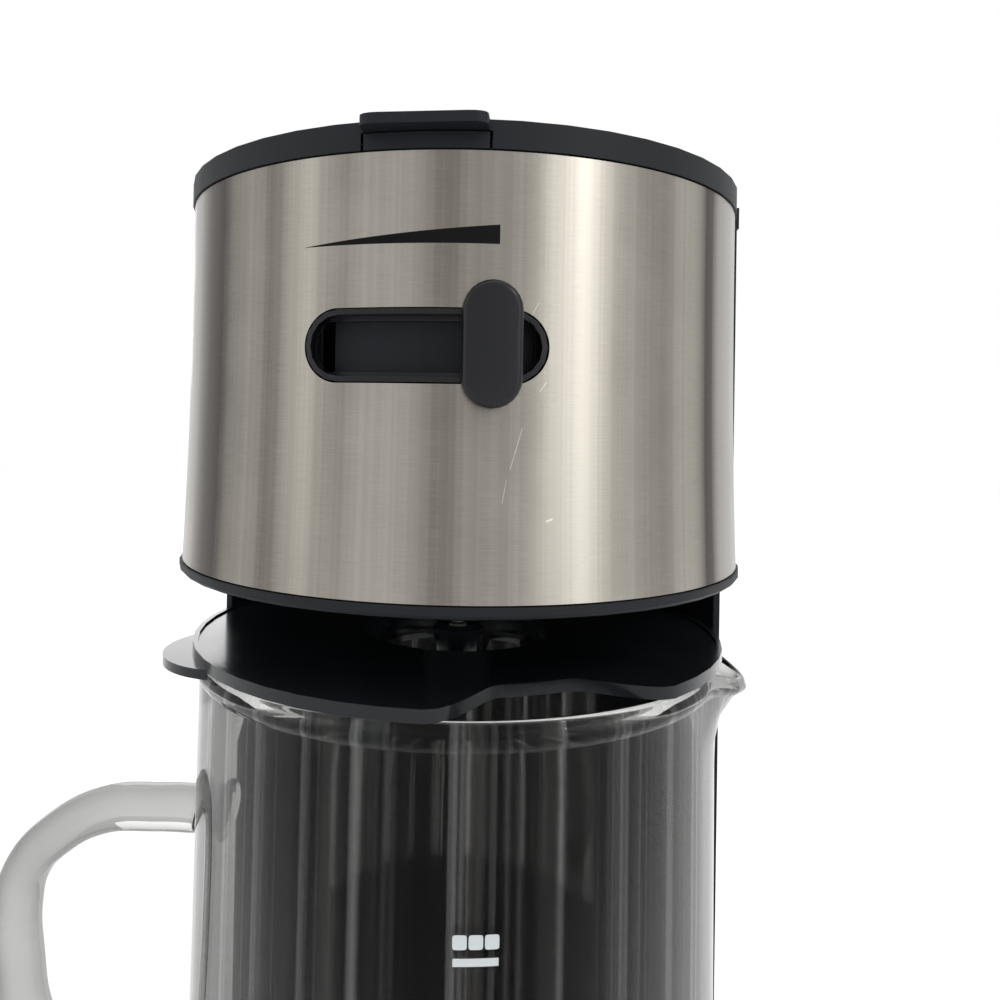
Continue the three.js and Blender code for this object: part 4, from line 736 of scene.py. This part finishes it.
def softened(node, round_mm, material, reshape=None):
    """A copy of a piece with whole faces and rounded edges. reshape may move its points."""
    bm = bmesh.new()
    bm.from_mesh(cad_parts[node].data)
    bmesh.ops.remove_doubles(bm, verts=bm.verts, dist=MERGE)
    if reshape:
        reshape(bm)
    bmesh.ops.dissolve_limit(bm, angle_limit=FLAT, verts=bm.verts, edges=bm.edges)
    shade(bm)
    obj = made(node + "_moulding", bm, material)
    rounding = obj.modifiers.new("rounded edges", "BEVEL")
    rounding.width = round_mm * MM
    rounding.segments = BEVEL_SEGMENTS
    rounding.limit_method = "ANGLE"
    rounding.angle_limit = CREASE
    rounding.harden_normals = True
    return obj


for node, round_mm in MATTE_ROUNDS_MM.items():
    dress(softened(node, round_mm, MATTE_BLACK), "machine", "matte_black", node)

# %% [markdown]
# The lid is lifted by a finger tab at its front. The part's tab reaches out further than the
# photograph shows. It could be cut off and built again. But nothing else reaches past the front
# of the round lid, so it is enough to find the points that do and to draw them back by half.

# %% The lid and its finger tab
LID_LOW, LID_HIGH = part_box("lid_cover")
LID_FRONT = AXIS.y - (LID_HIGH.x - LID_LOW.x) / 2
LID_ROUND_MM = 0.6
TAB_SHARE = 0.5


def draw_in_tab(bm):
    """Keeps a share of what reaches past the lid's front."""
    for vert in bm.verts:
        past_lid = LID_FRONT - vert.co.y
        if past_lid > 0:
            vert.co.y += past_lid * (1 - TAB_SHARE)


lid = softened("lid_cover", LID_ROUND_MM, MATTE_BLACK, draw_in_tab)
dress(lid, "head_lid", "matte_black", "lid_cover")

# %% [markdown]
# The knob, the slot's insert, the filter's frame, the switch's button and the pitcher's lid are
# glossy and get the same treatment. The rounding's width could be one for all, but a knob is
# soft to the thumb and an insert is crisp, so each has its own.

# %% Rounded copies of the glossy pieces
# A piece: the body it rides on, the width of its rounding in mm, and its finish.
GLOSS_PIECES = {
    "strength_bezel": ("machine", 0.25, GLOSS_BLACK),
    "filter_frame": ("machine", 0.2, GLOSS_BLACK),
    "power_button": ("button", 0.8, GLOSS_BLACK),
    "strength_knob": ("slider", 0.6, GLOSS_BLACK),
    "pitcher_lid": ("pitcher_cover", 0.3, POLISHED_BLACK),
}
for node, (body, round_mm, material) in GLOSS_PIECES.items():
    dress(softened(node, round_mm, material), body, "gloss_black", node)

# %% [markdown]
# The steel is one sheet, straight at the top and flared at the foot. It could be a flat sheet
# bent with a modifier, but its flare would then be hard to keep true. Its section is turned half
# way round the axis with spin instead, in fine steps, so that the reflections run smoothly.

# %% The steel sheet
STEEL_T = 0.6 * MM
FLARE_POWER = 3
STEEL_PAST_SIDE = math.asin((BAND_HIGH.y - AXIS.y) / STEEL_TOP_R)
STEEL_LEVELS = 14
STEEL_STEPS = 200


def steel_radius(z):
    down = (STEEL_HIGH - z) / (STEEL_HIGH - STEEL_LOW)
    return STEEL_TOP_R + STEEL_FLARE * down ** FLARE_POWER


def section_points(bm, points):
    """The section of a turned piece: points of radius and height, on the axis's +X side."""
    return [bm.verts.new((AXIS.x + radius, AXIS.y, z)) for radius, z in points]


def turned(bm, geometry, angle, steps, closed):
    """Turns a section about the axis."""
    bmesh.ops.spin(
        bm, geom=geometry, cent=(AXIS.x, AXIS.y, 0), axis=(0, 0, 1), dvec=(0, 0, 0),
        angle=angle, steps=steps, use_merge=closed, use_duplicate=False,
    )


def steel_sheet():
    bm = bmesh.new()
    rise = (STEEL_HIGH - STEEL_LOW) / STEEL_LEVELS
    levels = [STEEL_LOW + rise * step for step in range(STEEL_LEVELS + 1)]
    outside = [(steel_radius(z), z) for z in levels]
    inside = [(steel_radius(z) - STEEL_T, z) for z in reversed(levels)]
    section = bm.faces.new(section_points(bm, outside + inside))
    start = Matrix.Rotation(math.pi - STEEL_PAST_SIDE, 3, "Z")
    bmesh.ops.rotate(bm, cent=(AXIS.x, AXIS.y, 0), matrix=start, verts=bm.verts)
    geometry = [section, *section.edges, *section.verts]
    turned(bm, geometry, math.pi + 2 * STEEL_PAST_SIDE, STEEL_STEPS, closed=False)
    bmesh.ops.recalc_face_normals(bm, faces=bm.faces)
    shade(bm)
    return made("steel_wrap", bm, STEEL)


wrap = steel_sheet()
print("steel sheet with", len(wrap.data.polygons), "faces")

# %% [markdown]
# The slot for the knob's insert goes through the sheet. Its edge could be built into the mesh,
# point by point. It is easier to push a bar with round ends through the sheet and take it away
# with a Boolean, as a punch does. The bar is a circle that is pulled apart and extruded.

# %% The slot in the steel
SLOT_GAP = 0.3 * MM
SLOT_SEGMENTS = 64


def carved(obj, tool, operation):
    """Cuts or joins a tool with an object, keeps the result and removes the tool."""
    step = obj.modifiers.new("carve", "BOOLEAN")
    step.object = tool
    step.operation = operation
    step.solver = "EXACT"
    graph = bpy.context.evaluated_depsgraph_get()
    shaped = bpy.data.meshes.new_from_object(obj.evaluated_get(graph))
    obj.modifiers.remove(step)
    obj.data = shaped
    bpy.data.objects.remove(tool)
    bm = bmesh.new()
    bm.from_mesh(shaped)
    shade(bm)
    bm.to_mesh(shaped)
    bm.free()
    return obj


def slot_punch():
    """A bar with round ends, a little larger than the insert, from in front to the axis."""
    low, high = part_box("strength_bezel")
    radius = (high.z - low.z) / 2 + SLOT_GAP
    half_width = (high.x - low.x) / 2 + SLOT_GAP
    bm = bmesh.new()
    bmesh.ops.create_circle(bm, cap_ends=True, radius=radius, segments=SLOT_SEGMENTS)
    for vert in bm.verts:
        if abs(vert.co.x) > MERGE:
            vert.co.x += math.copysign(half_width - radius, vert.co.x)
    upright = Matrix.Rotation(math.pi / 2, 3, "X")
    bmesh.ops.rotate(bm, cent=(0, 0, 0), matrix=upright, verts=bm.verts)
    length = 2 * STEEL_TOP_R
    front = (AXIS.x, AXIS.y - length, (low.z + high.z) / 2)
    bmesh.ops.translate(bm, vec=front, verts=bm.verts)
    grown = bmesh.ops.extrude_face_region(bm, geom=bm.faces[:])["geom"]
    far_end = [item for item in grown if isinstance(item, bmesh.types.BMVert)]
    bmesh.ops.translate(bm, vec=(0, length, 0), verts=far_end)
    bmesh.ops.recalc_face_normals(bm, faces=bm.faces)
    return made("slot_punch", bm, MATTE_BLACK)


dress(carved(wrap, slot_punch(), "DIFFERENCE"), "machine", "brushed_steel", "steel_band")

# %% [markdown]
# The pitcher's vessel is blown or pressed round, so one section gives all but its spout. It could
# be a cylinder that is scaled ring by ring. Drawing the section once is clearer: out along the
# foot, up the outside, round the rim's bead, and down the inside to the floor.

# %% The glass section
GLASS_LOW, GLASS_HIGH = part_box("pitcher_glass")
PITCHER_H = RIM_Z - SEAT_Z
FOOT_R = (GLASS_HIGH.y - GLASS_LOW.y) / 2
TAPER = 1.6 * MM
GLASS_WALL = 2.9 * MM
GLASS_FLOOR = 5 * MM
FOOT_ROUND = 7 * MM
FLOOR_ROUND = 5 * MM
INNER_FOOT = 14 * MM
BEAD_H = 5 * MM
BEAD_OUT = 1.0 * MM
WALL_LEVELS = 24
BEAD_STEPS = 10
ARC_STEPS = 8


def outside_at(up):
    """The glass's outer radius at a height above the seat."""
    return FOOT_R - TAPER * up / PITCHER_H


def arc(radius, up, size, start_deg, end_deg):
    """Points of an arc in the section, from one direction to another."""
    step = (end_deg - start_deg) / ARC_STEPS
    angles = [math.radians(start_deg + step * i) for i in range(ARC_STEPS + 1)]
    return [(radius + size * math.cos(angle), up + size * math.sin(angle)) for angle in angles]


def bead(low):
    """The thicker ring under the rim, from its foot up."""
    shares = [step / BEAD_STEPS for step in range(BEAD_STEPS)]
    root = outside_at(low)
    return [(root + BEAD_OUT * math.sin(math.pi * up), low + BEAD_H * up) for up in shares]


def glass_section():
    """Radius and height above the seat, from the middle of the foot to that of the floor."""
    lip = PITCHER_H - GLASS_WALL / 2
    bead_low = lip - BEAD_H
    rise = (bead_low - FOOT_ROUND) / WALL_LEVELS
    levels = [FOOT_ROUND + rise * step for step in range(WALL_LEVELS)]
    floor_r = outside_at(0) - GLASS_WALL - FLOOR_ROUND
    return [
        (0, 0),
        *arc(FOOT_R - FOOT_ROUND, FOOT_ROUND, FOOT_ROUND, -90, 0)[:-1],
        *[(outside_at(up), up) for up in levels],
        *bead(bead_low),
        *arc(outside_at(lip) - GLASS_WALL / 2, lip, GLASS_WALL / 2, 0, 180),
        *[(outside_at(up) - GLASS_WALL, up) for up in reversed(levels) if up > INNER_FOOT],
        *arc(floor_r, GLASS_FLOOR + FLOOR_ROUND, FLOOR_ROUND, 0, -90),
        (0, GLASS_FLOOR),
    ]


print("glass section of", len(glass_section()), "points")

# %% [markdown]
# Spin turns the section into the vessel. The spout could be a piece of its own, but then a seam
# would show in the glass. A real one is drawn out of the hot rim with a tool, so here too the
# rim's points are pulled out and down, most at the middle of the spout and less to its sides.

# %% The vessel and its spout
GLASS_STEPS = 180
SPOUT_OUT = 9.4 * MM
SPOUT_DIP = 7 * MM
SPOUT_H = 28 * MM
SPOUT_HALF_DEG = 24
SPOUT_POWER = 2


def eased(value, low, high):
    """From 0 at low to 1 at high, slow at both ends."""
    share = min(max((value - low) / (high - low), 0), 1)
    return share * share * (3 - 2 * share)


def pull_spout(bm):
    for vert in bm.verts:
        x, y = vert.co.x - AXIS.x, vert.co.y - AXIS.y
        radius = math.hypot(x, y)
        aside = 1 - eased(abs(math.degrees(math.atan2(y, x))), 0, SPOUT_HALF_DEG)
        above = eased(vert.co.z - SEAT_Z, PITCHER_H - SPOUT_H, PITCHER_H) ** SPOUT_POWER
        pull = aside * above
        if radius and pull:
            out = SPOUT_OUT * pull / radius
            vert.co += Vector((x * out, y * out, -SPOUT_DIP * pull))


def glass_vessel():
    bm = bmesh.new()
    verts = section_points(bm, [(radius, SEAT_Z + up) for radius, up in glass_section()])
    edges = [bm.edges.new(pair) for pair in zip(verts, verts[1:])]
    turned(bm, [*verts, *edges], math.tau, GLASS_STEPS, closed=True)
    bmesh.ops.remove_doubles(bm, verts=bm.verts, dist=MERGE)
    pull_spout(bm)
    bmesh.ops.recalc_face_normals(bm, faces=bm.faces)
    shade(bm)
    return made("pitcher_vessel", bm, GLASS)


vessel = glass_vessel()
print("vessel with", len(vessel.data.polygons), "faces")

# %% [markdown]
# The handle is a rod of hot glass, bent and pressed on at both ends, where it spreads. It could
# be a chain of rings, but a curve with a round bevel bends more evenly, and a radius at each of
# its points makes the spread. The rod is a little wider than it is thick, so its mesh is
# stretched across. A Boolean joins it to the wall, because glass inside glass would show.

# %% The glass handle
HANDLE_BOW = 62.4 * MM
HANDLE_TOP = 126 * MM
HANDLE_FOOT = 24 * MM
HANDLE_THICK = 13.6 * MM
HANDLE_WIDE = 16 * MM
ROOT_DEPTH = 2.6 * MM
ROD_SEGMENTS = 14
ROD_STEPS = 10
# A point of the handle: its share out, its share down, and its share of the thickness.
HANDLE_SHARES = (
    (0, 0, 1.45), (0.04, 0, 1.16), (0.09, 0, 1.0), (0.3, 0.004, 1.0), (0.57, 0.025, 1.0),
    (0.8, 0.105, 1.0), (0.95, 0.21, 1.0), (1, 0.34, 1.0), (0.985, 0.5, 1.0), (0.93, 0.68, 1.0),
    (0.76, 0.86, 1.0), (0.42, 0.975, 1.0), (0.09, 1, 1.0), (0.04, 1, 1.16), (0, 1, 1.45),
)


def handle_curve():
    """The handle's middle line, with a round rod on it."""
    line = bpy.data.curves.new("handle_line", "CURVE")
    line.dimensions = "3D"
    line.bevel_depth = HANDLE_THICK / 2
    line.bevel_resolution = ROD_SEGMENTS
    line.resolution_u = ROD_STEPS
    line.use_fill_caps = True
    spline = line.splines.new("BEZIER")
    spline.bezier_points.add(len(HANDLE_SHARES) - 1)
    for point, (out, down, thick) in zip(spline.bezier_points, HANDLE_SHARES):
        x = AXIS.x - FOOT_R + ROOT_DEPTH - (HANDLE_BOW + ROOT_DEPTH) * out
        z = SEAT_Z + HANDLE_TOP - (HANDLE_TOP - HANDLE_FOOT) * down
        point.co = (x, 0, z)
        point.radius = thick
        point.handle_left_type = point.handle_right_type = "AUTO"
    rod = bpy.data.objects.new("handle_line", line)
    bpy.context.collection.objects.link(rod)
    return rod


def glass_handle():
    rod = handle_curve()
    graph = bpy.context.evaluated_depsgraph_get()
    mesh = bpy.data.meshes.new_from_object(rod.evaluated_get(graph))
    bpy.data.objects.remove(rod)
    bm = bmesh.new()
    bm.from_mesh(mesh)
    bmesh.ops.remove_doubles(bm, verts=bm.verts, dist=MERGE)
    bmesh.ops.scale(bm, vec=(1, HANDLE_WIDE / HANDLE_THICK, 1), verts=bm.verts)
    bmesh.ops.translate(bm, vec=(0, AXIS.y, 0), verts=bm.verts)
    bmesh.ops.recalc_face_normals(bm, faces=bm.faces)
    return made("handle", bm, GLASS)


dress(carved(vessel, glass_handle(), "UNION"), "pitcher", "clear_glass", "pitcher_glass")

# %% [markdown]
# Marks are printed on two curved surfaces. They could be painted by the material, but an edge
# that sharp wants a shape of its own. Each mark is a thin plate: a flat grid is laid on the
# curve by its angle and height, and solidify gives it thickness. The first is a wedge on the
# steel, thin for weak tea and thick for strong.

# %% The wedge for weak and strong
PRINT_T = 0.04 * MM
PRINT_LIFT = 0.03 * MM
PRINT_STEPS = 48
CORNER_SEGMENTS = 4
WEDGE_DEGS = (-20.9, 11.95)
WEDGE_DOWN = 19.6 * MM
WEDGE_H = 4.1 * MM
INK_FACTS = {
    "tones": (rgb(8, 8, 10), rgb(13, 13, 15)), "roughness": 0.55,
    "grains_per_metre": 900, "depth": 0.01 * MM, "Specular IOR Level": 0.1,
}


def laid_plate(name, place, material, steps=PRINT_STEPS, corner_share=0.0):
    """A thin plate on a curve. place turns shares across and up, from 0 to 1, into a point."""
    bm = bmesh.new()
    bmesh.ops.create_grid(bm, x_segments=steps, y_segments=1, size=0.5)
    if corner_share:
        corners = [vert for vert in bm.verts if len(vert.link_edges) == 2]
        bmesh.ops.bevel(
            bm, geom=corners, offset=corner_share, segments=CORNER_SEGMENTS, profile=0.5,
            affect="VERTICES", material=-1,
        )
    for vert in bm.verts:
        vert.co = place(vert.co.x + 0.5, vert.co.y + 0.5)
    bmesh.ops.recalc_face_normals(bm, faces=bm.faces)
    bmesh.ops.solidify(bm, geom=bm.faces[:], thickness=PRINT_T)
    bmesh.ops.recalc_face_normals(bm, faces=bm.faces)
    return made(name, bm, material)


def round_axis(radius, degrees, z):
    """A point at an angle from the front, to the right where the angle is positive."""
    angle = math.radians(degrees)
    return Vector((AXIS.x + radius * math.sin(angle), AXIS.y - radius * math.cos(angle), z))


def wedge_point(across, up):
    """The wedge starts as a point at its left end and grows to its full height."""
    start, end = WEDGE_DEGS
    z = STEEL_HIGH - WEDGE_DOWN + WEDGE_H * up * across
    return round_axis(steel_radius(z) + PRINT_LIFT, start + (end - start) * across, z)


ink = plain("ink", **INK_FACTS)
dress(laid_plate("strength_mark", wedge_point, ink), "machine", "matte_black")

# %% [markdown]
# The pitcher has a fill line with three small ice cubes above it. The cubes could be one plate
# with gaps, but three are simpler. Each is one flat face with its corners rounded by a bevel
# before it is laid on the glass.

# %% The fill line and its ice cubes
LINE_DEGS = (6.5, 14.1)
LINE_LOW = 131.4 * MM
LINE_H = 1.7 * MM
CUBE_DEGS = (7.6, 10.3, 13.0)
CUBE_HALF_DEG = 1.2
CUBE_LOW = 134.9 * MM
CUBE_H = 3.1 * MM
CUBE_CORNER_SHARE = 0.2
PALE_FACTS = {
    "tones": (rgb(198, 205, 208), rgb(212, 218, 220)), "roughness": 0.5,
    "grains_per_metre": 900, "depth": 0.01 * MM,
}


def on_glass(start_deg, end_deg, low, height):
    """The place of a plate on the pitcher's outside, for laid_plate."""
    def place(across, up):
        z = low + height * up
        degrees = start_deg + (end_deg - start_deg) * across
        return round_axis(outside_at(z) + PRINT_LIFT, degrees, SEAT_Z + z)
    return place


pale_print = plain("pale_print", **PALE_FACTS)
dress(laid_plate("fill_line", on_glass(*LINE_DEGS, LINE_LOW, LINE_H), pale_print), "pitcher")
for number, degrees in enumerate(CUBE_DEGS, 1):
    place = on_glass(degrees - CUBE_HALF_DEG, degrees + CUBE_HALF_DEG, CUBE_LOW, CUBE_H)
    cube = laid_plate(f"ice_cube_{number}", place, pale_print, 1, CUBE_CORNER_SHARE)
    dress(cube, "pitcher")

# %% [markdown]
# The rest of the part is small or inside. Each piece could be copied and rounded too, but from a
# step away nobody would see it. It keeps its own shape and only gets its finish.

# %% Finishes on the remaining pieces
PIECES_WITH = {
    "matte_black": ("switch_body", "strength_shutter", "valve_ring", "lid_channel", "spray_disc"),
    "rubber": ("seat_mat", "cord_gland", "tank_seal", "foot_1", "foot_2", "foot_3", "foot_4"),
    "silicone": ("inlet_hose", "check_valve", "riser_tube", "drip_stop", "lid_seal"),
    "aluminium": ("heater_tube", "heater_cradle"),
    "hardware": (
        "thermostat", "thermal_fuse", "stop_spring", "hinge_pin",
        "base_screw_1", "base_screw_2", "base_screw_3", "base_screw_4",
    ),
    "clear_plastic": ("water_tank",),
    "gold_mesh": ("filter_mesh",),
    "red_lens": ("power_lamp",),
}
for finish, nodes in PIECES_WITH.items():
    for node in nodes:
        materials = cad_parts[node].data.materials
        materials.clear()
        materials.append(FINISH_OF[finish])
print("finished in place:", sum(not obj.hide_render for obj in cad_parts.values()))

# %% [markdown]
# A dressed part must keep to the size of the bare one, or it would not fit where the part fits.
# This could be judged by eye.
